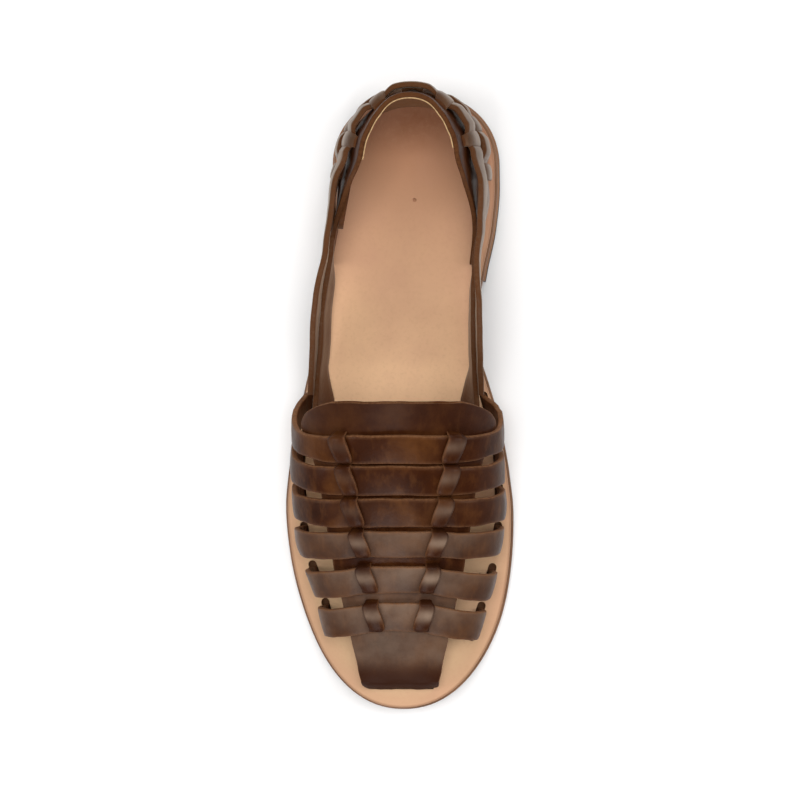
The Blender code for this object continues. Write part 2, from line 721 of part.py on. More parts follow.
def build_counter():
    """Counter, its woven straps, bridges and tail joined where they cross."""
    inner_layer = COUNTER_THICKNESS - EMBED
    outer_layer = inner_layer + STRAP_THICKNESS - EMBED
    pieces = [counter_wall(), side_strap("lower", LOWER_BRIDGES, inner_layer, LOWER_END),
              side_strap("upper", UPPER_BRIDGES, outer_layer, UPPER_END)]
    pieces += [bridge("upper", degrees) for degrees in UPPER_BRIDGES]
    pieces += [bridge("lower", degrees) for degrees in LOWER_BRIDGES]
    pieces.append(strap_tail())
    finished(changed_by("heel_counter", "UNION", pieces))


def centre_on_floor():
    """Move everything so that the middle of its footprint is the origin."""
    bpy.context.view_layer.update()
    parts = list(bpy.context.scene.objects)
    corners = [part.matrix_world @ Vector(corner) for part in parts for corner in part.bound_box]
    for axis in (0, 1):
        middle = (min(corner[axis] for corner in corners) + max(corner[axis] for corner in corners)) / 2
        for part in parts:
            part.location[axis] -= middle


for old in list(bpy.data.objects):
    bpy.data.objects.remove(old)
build_sole()
build_vamp()
build_counter()
centre_on_floor()
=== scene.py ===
"""Looks of the woven leather sandal, built round its solids.

Lengths are in metres. +X is the inner side of the foot, -Y points at the toe and +Z is up.
A station is a place along the sole: 0 at the back of the heel, 1 at the tip of the toe.
"""

import bisect
import math

import bmesh
import bpy
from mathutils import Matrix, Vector, noise


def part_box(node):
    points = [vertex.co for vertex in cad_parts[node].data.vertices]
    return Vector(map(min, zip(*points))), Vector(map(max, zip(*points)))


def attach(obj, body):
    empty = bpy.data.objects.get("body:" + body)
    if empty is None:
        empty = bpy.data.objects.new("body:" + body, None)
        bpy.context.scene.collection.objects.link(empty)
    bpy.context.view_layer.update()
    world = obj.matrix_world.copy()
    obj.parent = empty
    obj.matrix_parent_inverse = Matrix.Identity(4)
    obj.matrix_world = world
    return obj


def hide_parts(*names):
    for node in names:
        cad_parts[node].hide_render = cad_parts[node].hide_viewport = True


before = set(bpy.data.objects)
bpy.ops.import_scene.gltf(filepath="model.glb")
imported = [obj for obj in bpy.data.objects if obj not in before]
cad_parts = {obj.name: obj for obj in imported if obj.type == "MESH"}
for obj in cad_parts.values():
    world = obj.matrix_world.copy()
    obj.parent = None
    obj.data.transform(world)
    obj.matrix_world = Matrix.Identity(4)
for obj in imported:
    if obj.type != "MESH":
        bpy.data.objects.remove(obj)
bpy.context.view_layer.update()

# Sole
LENGTH = 0.252
BALL_WIDTH = 0.0938
HEEL_ROUND = 0.029
HEEL_FULLNESS = 2.12
TOE_ROUND = 0.085
TOE_FULLNESS = 2.16
OUTSOLE_THICKNESS = 0.0045
FOOTBED_THICKNESS = 0.004
FOOTBED_INSET = 0.001
HEEL_HEIGHT = 0.015
HEEL_LENGTH = 0.0766
HEEL_CAP_THICKNESS = 0.005
HEEL_FLARE = 0.0008
HEEL_LIFTS = 3
WAIST_LENGTH = 0.066
TOE_SPRING = 0.007
TOE_SPRING_START = 0.8
SOLE_CORNER = 0.0008
CAP_CORNER = 0.0005
LIFT_GROOVE = 0.00025
MARGIN = ((0.0011, 0.9), (0.0035, 0.7), (0.008, 0.25), (0.014, 0.0))
# Strength of the painted shade on the footbed under the vamp
UNDER_VAMP_SHADE = 0.5

# Upper
STRAP_THICKNESS = 0.0022
STRAP_WIDTH = 0.0126
STRAP_CROWN = 0.0003
# Painted highlight on the straps' side bends
SIDE_PAINTED_HIGHLIGHT = 0.17
PINCH_SHADOW = 0.6
TONGUE_THICKNESS = 0.002
BAND_WIDTH = 0.0068
BAND_THICKNESS = 0.0018
BAND_SLANT = 0.0010
# Painted highlight on the medial band
BAND_PAINTED_HIGHLIGHT = 0.42
# Painted shade where the bands dip between straps
BAND_PINCH_SHADE = 0.45
INSTEP_HEIGHT = 0.052
WIDEST_SHARE = 0.32
TUCK = 0.0015
TUCK_CURVE = 1.5
LEAD_CURVE = 3.2
DROOP = 0.004
SLOT_MARGIN = 0.0046
SLOT_DEPTH = 0.0037
SLOT_CLEARANCE = 0.0006
TAB_HALF_WIDTH = 0.0152
TAB_STATION = 0.960
# Where painted shade over the tab's bend starts
TAB_SHADE_START = 0.905
TAB_CORNER = 0.0009
TAB_DRAW = 0.035
CORNER = 0.00045

# Heel counter and side straps
COUNTER_THICKNESS = 0.002
COUNTER_HEIGHT = 0.050
COUNTER_BACK = 0.0056
COUNTER_ROUND = 0.025
COUNTER_BULGE = 0.0014
SIDE_END = 0.497
LOOP_GAP = 0.0017
LOWER_END = 2.045
UPPER_END = 1.985
# Painted highlight on the woven heel straps and bridges
HEEL_PAINTED_HIGHLIGHT = 0.28
BRIDGE_WIDTH = 0.0065
BRIDGE_OVERLAP = 0.003
BRIDGE_THICKNESS = 0.0019
STRAP_SUNK = 0.001
TAIL_WIDTH = 0.0125
FOOT_START = 1.38
FOOT_RUN = 0.14
FOOT_IN_LATERAL = 0.0024
FOOT_IN_MEDIAL = 0.0006
FOOT_FADE = 1.1
FLAP_START = 1.86
FLAP_LATERAL = 0.0040
FLAP_MEDIAL = 0.0046
WALL_FLARE = 0.0018
WALL_FLARE_START = 1.15
LINING_THICKNESS = 0.0006
LINING_ENDS = (-0.98, 0.86)
WALL_ENDS = (-1.42, 1.42)
GAP = 0.0003
EMBED = 0.0005
WOBBLE_LENGTH = 0.006

# How closely the forms are followed
ROUND_STEP = 3
TIP_ANGLE = 88.5
STRAIGHT_STEPS = 70
SAME_STATION = 0.0001
SAME_PLACE = 0.00002
SLOPE_STEP = 0.01
NORMAL_STEP = 0.004
CROWN_STEPS = 40
TURNED_STEPS = 16
TONGUE_STEPS = 90
TONGUE_COUNT = 24
TONGUE_STARTS = (0.0, 0.0006, 0.0016, 0.003, 0.005, 0.0075, 0.011, 0.015, 0.02, 0.026)
TAB_STEPS = 8
BAND_STEPS = 260
HEEL_STEPS = 60
WALL_STEPS = 26
BRIDGE_STEPS = 28
TAIL_STEPS = 24
SLOT_STEPS = 8
SAMPLES = (-1, -0.5, 0, 0.5, 1)
WALL_SHARES = (0.0, 0.2, 0.4, 0.6, 0.8, 1.0)
TOP_STEPS = (-0.75, -0.5, -0.25, 0.0, 0.25, 0.5, 0.75)
UNDER_STEPS = (0.5, 0.0, -0.5)
CORNER_STEPS = (0.0, 0.3, 0.6, 0.85, 1.0)
SHARP_ANGLE = 50
CUT_SHARP_ANGLE = 40


def table(names, *rows):
    """Rows of values under the names of their columns."""
    return tuple(dict(zip(names, row)) for row in rows)


# Sole outline: centre and half width as shares of the ball width
OUTLINE = table(
    ("station", "centre", "half"),
    (0.00, 0.066, 0.346),
    (0.15, 0.064, 0.356),
    (0.22, 0.046, 0.358),
    (0.29, 0.010, 0.355),
    (0.37, -0.019, 0.352),
    (0.42, -0.022, 0.364),
    (0.47, -0.019, 0.400),
    (0.52, -0.015, 0.435),
    (0.57, -0.014, 0.464),
    (0.62, -0.014, 0.486),
    (0.68, -0.011, 0.500),
    (0.76, -0.003, 0.500),
    (0.88, 0.009, 0.500),
    (1.00, 0.009, 0.500),
)

# Last under the vamp: widest inner reach to each side as shares of the ball width,
# and the height of the crown as a share of the instep height
LAST = table(
    ("station", "lateral", "medial", "crown"),
    (0.440, 0.430, 0.410, 1.095),
    (0.500, 0.440, 0.418, 1.000),
    (0.572, 0.438, 0.423, 0.885),
    (0.622, 0.447, 0.424, 0.800),
    (0.673, 0.439, 0.433, 0.712),
    (0.724, 0.424, 0.417, 0.625),
    (0.783, 0.362, 0.380, 0.520),
    (0.845, 0.316, 0.326, 0.413),
    (0.900, 0.280, 0.285, 0.308),
    (0.940, 0.250, 0.255, 0.215),
    (0.960, 0.240, 0.245, 0.120),
)

# Vamp straps from the instep to the toe: the station of each one's middle at the crown
# and where it turns down on each side, its width as a share of the strap width, and how
# far its ends sweep along the sole on their way down, in stations; then how much painted
# highlight its middle shows, and how much its toe-side edge is drawn in beside the foot
STRAPS = table(
    ("station", "lateral", "medial", "width", "sweep", "painted_highlight", "waist"),
    (0.569, 0.534, 0.543, 0.95, -0.036, 0.0, 0.40),
    (0.619, 0.586, 0.604, 0.98, -0.010, 0.0, 0.32),
    (0.670, 0.654, 0.663, 0.95, -0.004, 0.03, 0.18),
    (0.721, 0.722, 0.721, 0.86, 0.0, 0.33, 0.0),
    (0.778, 0.789, 0.794, 0.90, 0.0, 0.44, 0.0),
    (0.840, 0.853, 0.858, 0.98, 0.0, 0.46, 0.0),
)

# Tongue plate under the straps and the bands slit from it, seen from above:
# half width of the plate and the distance of each band from the middle, in ball widths
TONGUE = table(
    ("station", "half", "band"),
    (0.4986, 0.275, 0.238),
    (0.506, 0.340, 0.238),
    (0.518, 0.385, 0.236),
    (0.535, 0.402, 0.232),
    (0.555, 0.385, 0.226),
    (0.600, 0.345, 0.208),
    (0.650, 0.316, 0.188),
    (0.700, 0.300, 0.165),
    (0.765, 0.272, 0.135),
    (0.820, 0.241, 0.110),
    (0.880, 0.204, 0.092),
    (0.925, 0.180, 0.088),
    (0.949, 0.168, 0.086),
)

# Inside of the upper at the heel and waist: centre and half width at the footbed in ball
# widths, how far counter and straps lean out at the counter's height in ball widths, the
# share of the bulge, and the heights of the counter's top and of both side straps' middles
# as shares of the counter's height
REAR = table(
    ("station", "centre", "half", "lean", "strap_lean", "bulge", "top", "upper", "lower"),
    (0.022, 0.062, 0.288, -0.006, -0.006, 1.0, 1.00, 0.66, 0.280),
    (0.036, 0.062, 0.288, -0.055, -0.050, 1.0, 1.00, 0.66, 0.280),
    (0.060, 0.061, 0.288, -0.085, -0.082, 1.0, 1.00, 0.66, 0.280),
    (0.107, 0.058, 0.288, -0.097, -0.094, 0.9, 1.00, 0.66, 0.280),
    (0.152, 0.050, 0.299, -0.081, -0.058, 0.7, 0.92, 0.66, 0.280),
    (0.220, 0.036, 0.295, -0.032, -0.035, 0.3, 0.52, 0.64, 0.280),
    (0.284, 0.014, 0.288, 0.000, -0.010, 0.0, 0.20, 0.58, 0.260),
    (0.361, -0.004, 0.287, 0.040, 0.035, 0.0, 0.20, 0.47, 0.220),
    (0.420, -0.010, 0.290, 0.040, 0.050, 0.0, 0.20, 0.35, 0.190),
    (0.470, -0.016, 0.300, 0.040, 0.060, 0.0, 0.20, 0.24, 0.160),
    (0.500, -0.017, 0.307, 0.040, 0.060, 0.0, 0.20, 0.19, 0.145),
)

UPPER_BRIDGES = (-70, -26, 26, 70)
LOWER_BRIDGES = (-97, -56, -14, 14, 56, 97)
LOOP_SPREAD = 15
FREE_LENGTH = 0.25

# Pinhole left in the heel of the footbed
PINHOLE = Vector((0.0059, 0.0820, 0))
PINHOLE_RADIUS = 0.0008
PINHOLE_DEPTH = 0.0012

# Camera: above the floor beside the sandal, turned to it
CAMERA_PLACE = Vector((0.0634, 0.0040, 1.5))
FRAME_WIDTH = 0.33
SENSOR_WIDTH = 36.0


def smooth_column(rows, name):
    """Function of the station through one column of a table, level past both ends."""
    places = [row["station"] for row in rows]
    values = [row[name] for row in rows]
    slopes = [(values[i + 1] - values[i]) / (places[i + 1] - places[i]) for i in range(len(places) - 1)]
    tangents = [slopes[0]]
    for before, after in zip(slopes, slopes[1:]):
        tangents.append(0.0 if before * after <= 0 else 2 * before * after / (before + after))
    tangents.append(slopes[-1])

    def value(station):
        """Value of the column at a station."""
        if station <= places[0]:
            return values[0]
        if station >= places[-1]:
            return values[-1]
        index = bisect.bisect_right(places, station) - 1
        span = places[index + 1] - places[index]
        t = (station - places[index]) / span
        return (values[index] * (1 + 2 * t) * (1 - t) ** 2
                + values[index + 1] * t * t * (3 - 2 * t)
                + tangents[index] * span * t * (1 - t) ** 2
                - tangents[index + 1] * span * t * t * (1 - t))

    return value


def columns(rows):
    """Functions of the station for each column of a table."""
    return {name: smooth_column(rows, name) for name in rows[0] if name != "station"}


OUTLINE_AT = columns(OUTLINE)
LAST_AT = columns(LAST)
STRAPS_AT = {**columns(STRAPS), "station": smooth_column(STRAPS, "station")}
TONGUE_AT = columns(TONGUE)
REAR_AT = columns(REAR)


def eased(t):
    """0 to 1 with soft ends."""
    t = min(max(t, 0.0), 1.0)
    return t * t * (3 - 2 * t)


def onset(x, start, run):
    """0 before the start, 1 past the run, with soft ends."""
    return eased((x - start) / run)


def bell(x, middle, reach):
    """1 at the middle, fading to both sides."""
    return math.exp(-((x - middle) / reach) ** 2)


def wobble(seed, along, size):
    """Small unevenness of hand-cut leather at a distance along a piece."""
    return size * noise.noise(Vector((along / WOBBLE_LENGTH, seed * 7.3, 1.7)))


def y_at(station):
    """Place of a station along the sole."""
    return LENGTH * (0.5 - station)


def end_rounding(station):
    """Share of the full width that the round heel and the round toe leave."""
    heel = HEEL_ROUND / LENGTH
    toe = TOE_ROUND / LENGTH
    if station < heel:
        return max(1 - (1 - station / heel) ** HEEL_FULLNESS, 0.0) ** (1 / HEEL_FULLNESS)
    if station > 1 - toe:
        return max(1 - ((station - 1 + toe) / toe) ** TOE_FULLNESS, 0.0) ** (1 / TOE_FULLNESS)
    return 1.0


def sole_bottom(station):
    """Height of the underside of the outsole: heel seat, waist, tread and toe spring."""
    drop = eased((station - HEEL_LENGTH / LENGTH) / (WAIST_LENGTH / LENGTH))
    spring = max(station - TOE_SPRING_START, 0.0) / (1 - TOE_SPRING_START)
    return HEEL_HEIGHT * (1 - drop) + TOE_SPRING * spring ** 2


def footbed_top(station):
    """Height of the surface that the foot stands on."""
    return sole_bottom(station) + OUTSOLE_THICKNESS + GAP + FOOTBED_THICKNESS


def outline_stations(last):
    """Stations round the sole up to the last one, close together at the round ends."""
    heel = HEEL_ROUND / LENGTH
    toe = TOE_ROUND / LENGTH
    power = 2 / HEEL_FULLNESS
    back = [heel * (1 - math.cos(math.radians(angle)) ** power) for angle in range(0, 90, ROUND_STEP)]
    straight = [heel + (1 - toe - heel) * step / STRAIGHT_STEPS for step in range(STRAIGHT_STEPS + 1)]
    tip_angles = (*range(ROUND_STEP, 90, ROUND_STEP), TIP_ANGLE)
    tip = [1 - toe + toe * math.sin(math.radians(angle)) for angle in tip_angles]
    kept = [station for station in back + straight + tip if station < last - SAME_STATION]
    return kept + [last]


def placed_shift():
    """How far the solids lie from the sandal's own middle line."""
    low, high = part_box("outsole")
    sides = [[BALL_WIDTH * (OUTLINE_AT["centre"](station)
                            + side * OUTLINE_AT["half"](station) * end_rounding(station))
              for station in outline_stations(1)] for side in (-1, 1)]
    middle = (min(sides[0]) + max(sides[1])) / 2
    return Vector(((low.x + high.x) / 2 - middle, low.y - y_at(1), 0))


SHIFT = placed_shift()


# Materials

class Look:
    """Nodes of one material round its principled shader."""

    def __init__(self, name, roughness, coat=0.0, coat_roughness=0.3, specular=0.5):
        self.material = bpy.data.materials.new(name)
        self.material.use_nodes = True
        self.nodes = self.material.node_tree.nodes
        self.shader = self.nodes["Principled BSDF"]
        self.set("Roughness", roughness)
        self.set("Coat Weight", coat)
        self.set("Coat Roughness", coat_roughness)
        self.set("Specular IOR Level", specular)

    def set(self, name, value):
        """Give an input of the shader a value, a colour or another node's output."""
        self.feed(self.shader.inputs[name], value)

    def feed(self, socket, value):
        """Give a socket a number, a colour or another node's output."""
        if isinstance(value, (int, float)):
            socket.default_value = value
        elif isinstance(value, tuple):
            socket.default_value = (*value, 1)
        else:
            self.material.node_tree.links.new(value, socket)

    def node(self, kind, **inputs):
        """New node whose named inputs are numbers or other nodes' outputs."""
        made = self.nodes.new("ShaderNode" + kind)
        for name, value in inputs.items():
            self.feed(made.inputs[name], value)
        return made

    def place(self):
        """Place on the object."""
        return self.node("TexCoord").outputs["Object"]

    def noise(self, scale, detail=3.0, rough=0.5, stretch=(1, 1, 1)):
        """Noise over the object's own coordinates."""
        mapping = self.node("Mapping", Vector=self.place())
        mapping.inputs["Scale"].default_value = stretch
        return self.node("TexNoise", Scale=scale, Detail=detail, Roughness=rough,
                         Vector=mapping.outputs["Vector"]).outputs["Fac"]

    def grain(self, scale):
        """Pebbled grain of leather."""
        cells = self.node("TexVoronoi", Scale=scale, Vector=self.place())
        cells.feature = "SMOOTH_F1"
        return cells.outputs["Distance"]

    def ramp(self, source, *stops):
        """Colours or values along a source."""
        node = self.node("ValToRGB", Fac=source)
        elements = node.color_ramp.elements
        while len(elements) < len(stops):
            elements.new(0.5)
        for element, (position, colour) in zip(elements, stops):
            element.position = position
            element.color = (*colour, 1) if isinstance(colour, tuple) else (colour, colour, colour, 1)
        return node.outputs["Color"]

    def mix(self, first, second, factor):
        """Two colours mixed by a factor."""
        node = self.node("Mix")
        node.data_type = "RGBA"
        values = (("A", "RGBA", first), ("B", "RGBA", second), ("Factor", "VALUE", factor))
        for name, kind, value in values:
            self.feed(next(one for one in node.inputs if one.name == name and one.type == kind), value)
        return next(one for one in node.outputs if one.type == "RGBA")

    def attribute(self, name):
        """Value kept on the mesh's points."""
        node = self.node("Attribute")
        node.attribute_name = name
        return node.outputs["Fac"]

    def math(self, operation, *values):
        """Result of a math operation on one or two values."""
        node = self.node("Math")
        node.operation = operation
        for socket, value in zip(node.inputs, values):
            self.feed(socket, value)
        return node.outputs[0]

    def bump(self, *heights):
        """Bump from heights, their distances and strengths, the coarse ones first."""
        normal = None
        for height, distance, strength in heights:
            bump = self.node("Bump", Distance=distance, Strength=strength, Height=height)
            if normal:
                self.feed(bump.inputs["Normal"], normal)
            normal = bump.outputs["Normal"]
        self.set("Normal", normal)


def oiled_leather(name, tones, edge, flesh, highlight_colour, sheen=0.0):
    """Oiled pull-up leather: dark with lighter streaks, painted highlight on bends and crowns and
    painted shade where the points carry them, with raw edges and a flesh side.
    """
    dark, middle, light = tones
    look = Look(name, 0.42, coat=0.03, coat_roughness=0.25, specular=0.09)
    look.set("Sheen Weight", sheen)
    look.set("Sheen Roughness", 0.4)
    look.set("Sheen Tint", SHEEN_TINT)
    broad = look.noise(55, 4.0, 0.55)
    colour = look.ramp(broad, (0.3, dark), (0.5, middle), (0.72, light))
    streaks = look.noise(260, 3.0, 0.6, (1.0, 0.35, 1.0))
    streaked = look.ramp(streaks, (0.5, 0.0), (0.75, 1.0))
    colour = look.mix(colour, light, look.math("MULTIPLY", streaked, 0.6))
    cloudy = look.ramp(look.noise(140, 3.0, 0.55), (0.3, 0.6), (0.65, 1.0))
    # Painted highlight: a pale colour mixed in, patchy, where the points carry it
    colour = look.mix(colour, highlight_colour, look.math("MULTIPLY", look.attribute("painted_highlight"), cloudy))
    # Painted shade: dark brown mixed in where the points are marked dark
    colour = look.mix(colour, PAINTED_SHADE_BROWN, look.attribute("dark"))
    colour = look.mix(colour, flesh, look.attribute("flesh"))
    fray = look.ramp(look.noise(900, 2.0), (0.3, 0.45), (0.6, 1.0))
    rim = look.math("MULTIPLY", look.attribute("rim"), fray)
    look.set("Base Color", look.mix(colour, edge, rim))
    rough = look.ramp(look.noise(120, 3.0), (0.3, 0.33), (0.7, 0.48))
    for dull in (rim, look.attribute("dark")):
        rough = look.math("ADD", rough, look.math("MULTIPLY", dull, 0.3))
    look.set("Roughness", rough)
    look.bump((broad, 0.0008, 0.25), (streaks, 0.0002, 0.25), (look.grain(950), 0.00012, 0.35))
    return look.material


def natural_leather(name):
    """Footbed leather: tan, pinker at the margins, with painted light at the front of the waist, painted
    shade under the vamp, and darker in the heel from oil and from painted shade of the counter.
    """
    look = Look(name, 0.55, coat=0.05, coat_roughness=0.4, specular=0.3)
    split = look.node("SeparateXYZ", Vector=look.place())
    spans = {"Value": split.outputs["Y"], "From Min": y_at(1), "From Max": y_at(0)}
    along = look.node("MapRange", **spans).outputs["Result"]
    # Tan along the sole: lighter around the middle of the sole as painted light, and darker to the back
    # of the heel, partly oil staining and partly painted shade of the counter
    base = look.ramp(
        along, (0.0, (0.62, 0.41, 0.235)), (0.30, (0.64, 0.42, 0.24)), (0.50, (0.88, 0.56, 0.33)),
        (0.66, (0.74, 0.45, 0.26)), (0.80, (0.62, 0.34, 0.20)), (0.89, (0.50, 0.25, 0.14)),
        (0.955, (0.26, 0.10, 0.045)))
    across = look.math("ABSOLUTE", split.outputs["X"])
    # Painted shade on the footbed under the vamp
    shade_under_vamp = look.math("MULTIPLY", look.ramp(along, (0.27, 0.0), (0.31, 1.0), (0.46, 1.0), (0.48, 0.0)),
                        look.ramp(across, (0.036, UNDER_VAMP_SHADE), (0.041, 0.0)))
    colour = look.mix(base, (0.36, 0.17, 0.075), shade_under_vamp)
    blotches = look.noise(32, 4.0, 0.6)
    fibres = look.noise(700, 4.0, 0.6)
    for tint, place, share in (((0.58, 0.31, 0.20), look.ramp(blotches, (0.45, 0.0), (0.75, 1.0)), 0.45),
                               ((0.56, 0.29, 0.18), look.attribute("margin"), 0.5),
                               ((0.50, 0.27, 0.15), look.ramp(fibres, (0.5, 0.0), (0.8, 1.0)), 0.22)):
        colour = look.mix(colour, tint, look.math("MULTIPLY", place, share))
    look.set("Base Color", look.mix(colour, (0.30, 0.14, 0.07), look.attribute("rim")))
    look.set("Roughness", look.ramp(blotches, (0.3, 0.48), (0.7, 0.62)))
    look.bump((blotches, 0.0006, 0.2), (fibres, 0.00015, 0.3), (look.grain(1300), 0.0001, 0.2))
    return look.material


def layered_edge(name, dark, light, roughness, scale):
    """Burnished leather edge with fine level streaks."""
    look = Look(name, roughness, coat=0.05, coat_roughness=0.3, specular=0.25)
    streaks = look.noise(scale, 4.0, 0.6, (0.12, 0.12, 1.6))
    look.set("Base Color", look.ramp(streaks, (0.3, dark), (0.7, light)))
    fine = look.noise(900, 3.0)
    look.set("Roughness", look.ramp(fine, (0.3, roughness - 0.08), (0.7, roughness + 0.12)))
    look.bump((streaks, 0.0003, 0.35), (fine, 0.0001, 0.3))
    return look.material


def plain_rubber(name):
    """Dark matte rubber of the heel cap."""
    look = Look(name, 0.75, specular=0.35)
    dust = look.noise(160, 4.0)
    look.set("Base Color", look.ramp(dust, (0.3, (0.035, 0.026, 0.02)), (0.75, (0.075, 0.058, 0.045))))
    look.bump((look.noise(1500, 2.0), 0.00015, 0.4))
    return look.material


# Brown mixed in by the dark value: painted shade in pinches, creases and over the bent tab, and the
# tongue's darker top end
PAINTED_SHADE_BROWN = (0.030, 0.0078, 0.0022)
# Pale colour painted on as highlight on straps and bands
PAINTED_HIGHLIGHT_COLOUR = (0.222, 0.150, 0.106)
STRAP_TONES = ((0.021, 0.0046, 0.0010), (0.037, 0.0092, 0.0020), (0.086, 0.029, 0.0072))
STRAP_INSIDE = (0.088, 0.029, 0.010)
# Warmer pale colour painted on as highlight on the woven heel
HEEL_HIGHLIGHT_COLOUR = (0.265, 0.175, 0.108)
SHEEN_TINT = (1.0, 0.84, 0.66)
HEEL_SHEEN = 0.20
LINING_TONES = ((0.16, 0.08, 0.04), (0.22, 0.12, 0.06), (0.28, 0.16, 0.08))

BROWN = oiled_leather("brown_leather", STRAP_TONES, (0.20, 0.090, 0.040), STRAP_INSIDE, PAINTED_HIGHLIGHT_COLOUR)
BAND_BROWN = oiled_leather("band_leather", STRAP_TONES, (0.135, 0.056, 0.024), STRAP_INSIDE, PAINTED_HIGHLIGHT_COLOUR)
HEEL_BROWN = oiled_leather("heel_leather", STRAP_TONES, (0.088, 0.032, 0.011), STRAP_INSIDE, HEEL_HIGHLIGHT_COLOUR,
                           HEEL_SHEEN)
COUNTER_BROWN = oiled_leather("counter_leather", STRAP_TONES, (0.085, 0.031, 0.010), STRAP_INSIDE,
                              HEEL_HIGHLIGHT_COLOUR)
LINING = oiled_leather("lining_leather", LINING_TONES, (0.50, 0.33, 0.17), (0.20, 0.10, 0.05), HEEL_HIGHLIGHT_COLOUR)
TAN = natural_leather("natural_leather")
SOLE_EDGE = layered_edge("outsole_leather", (0.115, 0.050, 0.022), (0.23, 0.115, 0.058), 0.42, 220)
STACK = layered_edge("stack_leather", (0.19, 0.088, 0.044), (0.33, 0.17, 0.09), 0.45, 260)
RUBBER = plain_rubber("cap_rubber")


# Meshes

# Values on the points: raw edge, flesh side, footbed margin, painted shade (dark) and painted highlight
POINT_VALUES = ("rim", "flesh", "margin", "dark", "painted_highlight")
CAP_INSET = 0.12
CREASE_START = 0.8
CREASE_SHADOW = 0.6


def added(name, data):
    """New object in the scene."""
    made = bpy.data.objects.new(name, data)
    bpy.context.scene.collection.objects.link(made)
    return made


def joined(mesh, near, far):
    """Faces between two closed rings of points."""
    count = len(near)
    for step in range(count):
        after = (step + 1) % count
        mesh.faces.new((near[step], near[after], far[after], far[step]))


def skin(name, rings, material, caps=True):
    """Mesh over rings of points, each a place and its named values."""
    mesh = bmesh.new()
    layers = {key: mesh.verts.layers.float.new(key) for key in POINT_VALUES}

    def vertex(place, values):
        """One point with its values."""
        made = mesh.verts.new(place + SHIFT)
        for key, value in values.items():
            made[layers[key]] = value
        return made

    grid = [[vertex(place, values) for place, values in ring] for ring in rings]
    for near, far in zip(grid, grid[1:]):
        joined(mesh, near, far)
    if caps:
        for ring, places in ((grid[0], rings[0]), (grid[-1], rings[-1])):
            middle = sum((place for place, _ in places), Vector()) / len(places)
            inner = [vertex(place.lerp(middle, CAP_INSET), {"rim": 1.0}) for place, _ in places]
            joined(mesh, ring, inner)
            mesh.faces.new(inner)
    bmesh.ops.recalc_face_normals(mesh, faces=mesh.faces)
    if mesh.calc_volume(signed=True) < 0:
        bmesh.ops.reverse_faces(mesh, faces=mesh.faces)
    data = bpy.data.meshes.new(name)
    mesh.to_mesh(data)
    mesh.free()
    data.materials.append(material)
    data.shade_smooth()
    data.set_sharp_from_angle(angle=math.radians(SHARP_ANGLE))
    return added(name, data)


def belongs(piece, node):
    """A piece that stands for a node: attached to the root, with the node hidden."""
    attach(piece, "root")
    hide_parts(node)


def cut_edge(half, thickness):
    """Rounded cut edge of leather, top to bottom: share of the half width, height and values."""
    start = 1 - 0.3 * (CORNER / half)
    return [(start, thickness - 0.3 * CORNER, {"rim": 0.7}),
            (1.0, thickness - CORNER, {"rim": 1.0}),
            (1.0, CORNER, {"rim": 1.0}),
            (start, 0.3 * CORNER, {"rim": 0.9, "flesh": 0.5})]


def mirrored(edge):
    """The same edge on the other side, bottom to top."""
    return [(-w, height, values) for w, height, values in reversed(edge)]


def strip_profile(half, thickness, crown):
    """Section of a strip of leather: share of the half width, height and values."""
    inner = 1 - CORNER / half
    edge = cut_edge(half, thickness)
    profile = [(-inner, thickness, {"rim": 0.2})]
    profile += [(w, thickness + crown * (1 - w * w), {}) for w in TOP_STEPS]
    profile += [(inner, thickness, {"rim": 0.2}), *edge]
    profile += [(w, 0.0, {"flesh": 1.0}) for w in (inner, *UNDER_STEPS, -inner)]
    return profile + mirrored(edge)


def strip(name, sections, half, thickness, crown, material=None, tone=None, creased_side=0):
    """Strip of leather through sections, each a function of width share and height.

    A tone gives a section's values at a width share, and the creased side shows painted shadow and no
    raw edge.
    """
    profile = strip_profile(half, thickness, crown)
    rings = []
    for number, place in enumerate(sections):
        ring = []
        for w, height, values in profile:
            values = dict(values)
            if tone:
                values.update(tone(number, w))
            if w * creased_side > CREASE_START:
                values.update({"rim": 0.0, "dark": CREASE_SHADOW})
            ring.append((place(w, height), values))
        rings.append(ring)
    return skin(name, rings, material or BROWN)


def spread(samples, share, height):
    """Place in a section that is sampled at even shares of its width."""
    at = (share + 1) / 2 * (len(samples) - 1)
    index = min(int(at), len(samples) - 2)
    t = at - index
    base = samples[index][0].lerp(samples[index + 1][0], t)
    normal = samples[index][1].lerp(samples[index + 1][1], t).normalized()
    return base + normal * height


# Sole

def sole_ring(station, grow, profile, stretched):
    """Points round the sole's section at a station."""
    full = BALL_WIDTH * OUTLINE_AT["half"](station)
    centre = BALL_WIDTH * OUTLINE_AT["centre"](station)
    rounding = end_rounding(station)
    sides = []
    for side in (1, -1):
        edge = []
        for out, height, values in profile:
            half = (full + grow + out) * rounding
            stretch = 1 + 2 * (grow + out) / LENGTH if stretched else 1
            edge.append((Vector((centre + side * half, y_at(station) * stretch, height)), values))
        sides.append(edge)
    return sides[0] + sides[1][::-1]


def sole_layer(name, last, grow, profile_at, material):
    """Layer of the sole whose edge follows a profile at each station."""
    rings = []
    for station in outline_stations(last):
        stretched = last == 1 or station < HEEL_ROUND / LENGTH
        rings.append(sole_ring(station, grow, profile_at(station), stretched))
    made = skin(name, rings, material, caps=False)
    mesh = bmesh.new()
    mesh.from_mesh(made.data)
    bmesh.ops.remove_doubles(mesh, verts=mesh.verts, dist=SAME_PLACE)
    bmesh.ops.holes_fill(mesh, edges=[edge for edge in mesh.edges if edge.is_boundary])
    bmesh.ops.recalc_face_normals(mesh, faces=mesh.faces)
    mesh.to_mesh(made.data)
    mesh.free()
    made.data.shade_smooth()
    made.data.set_sharp_from_angle(angle=math.radians(SHARP_ANGLE))
    return made


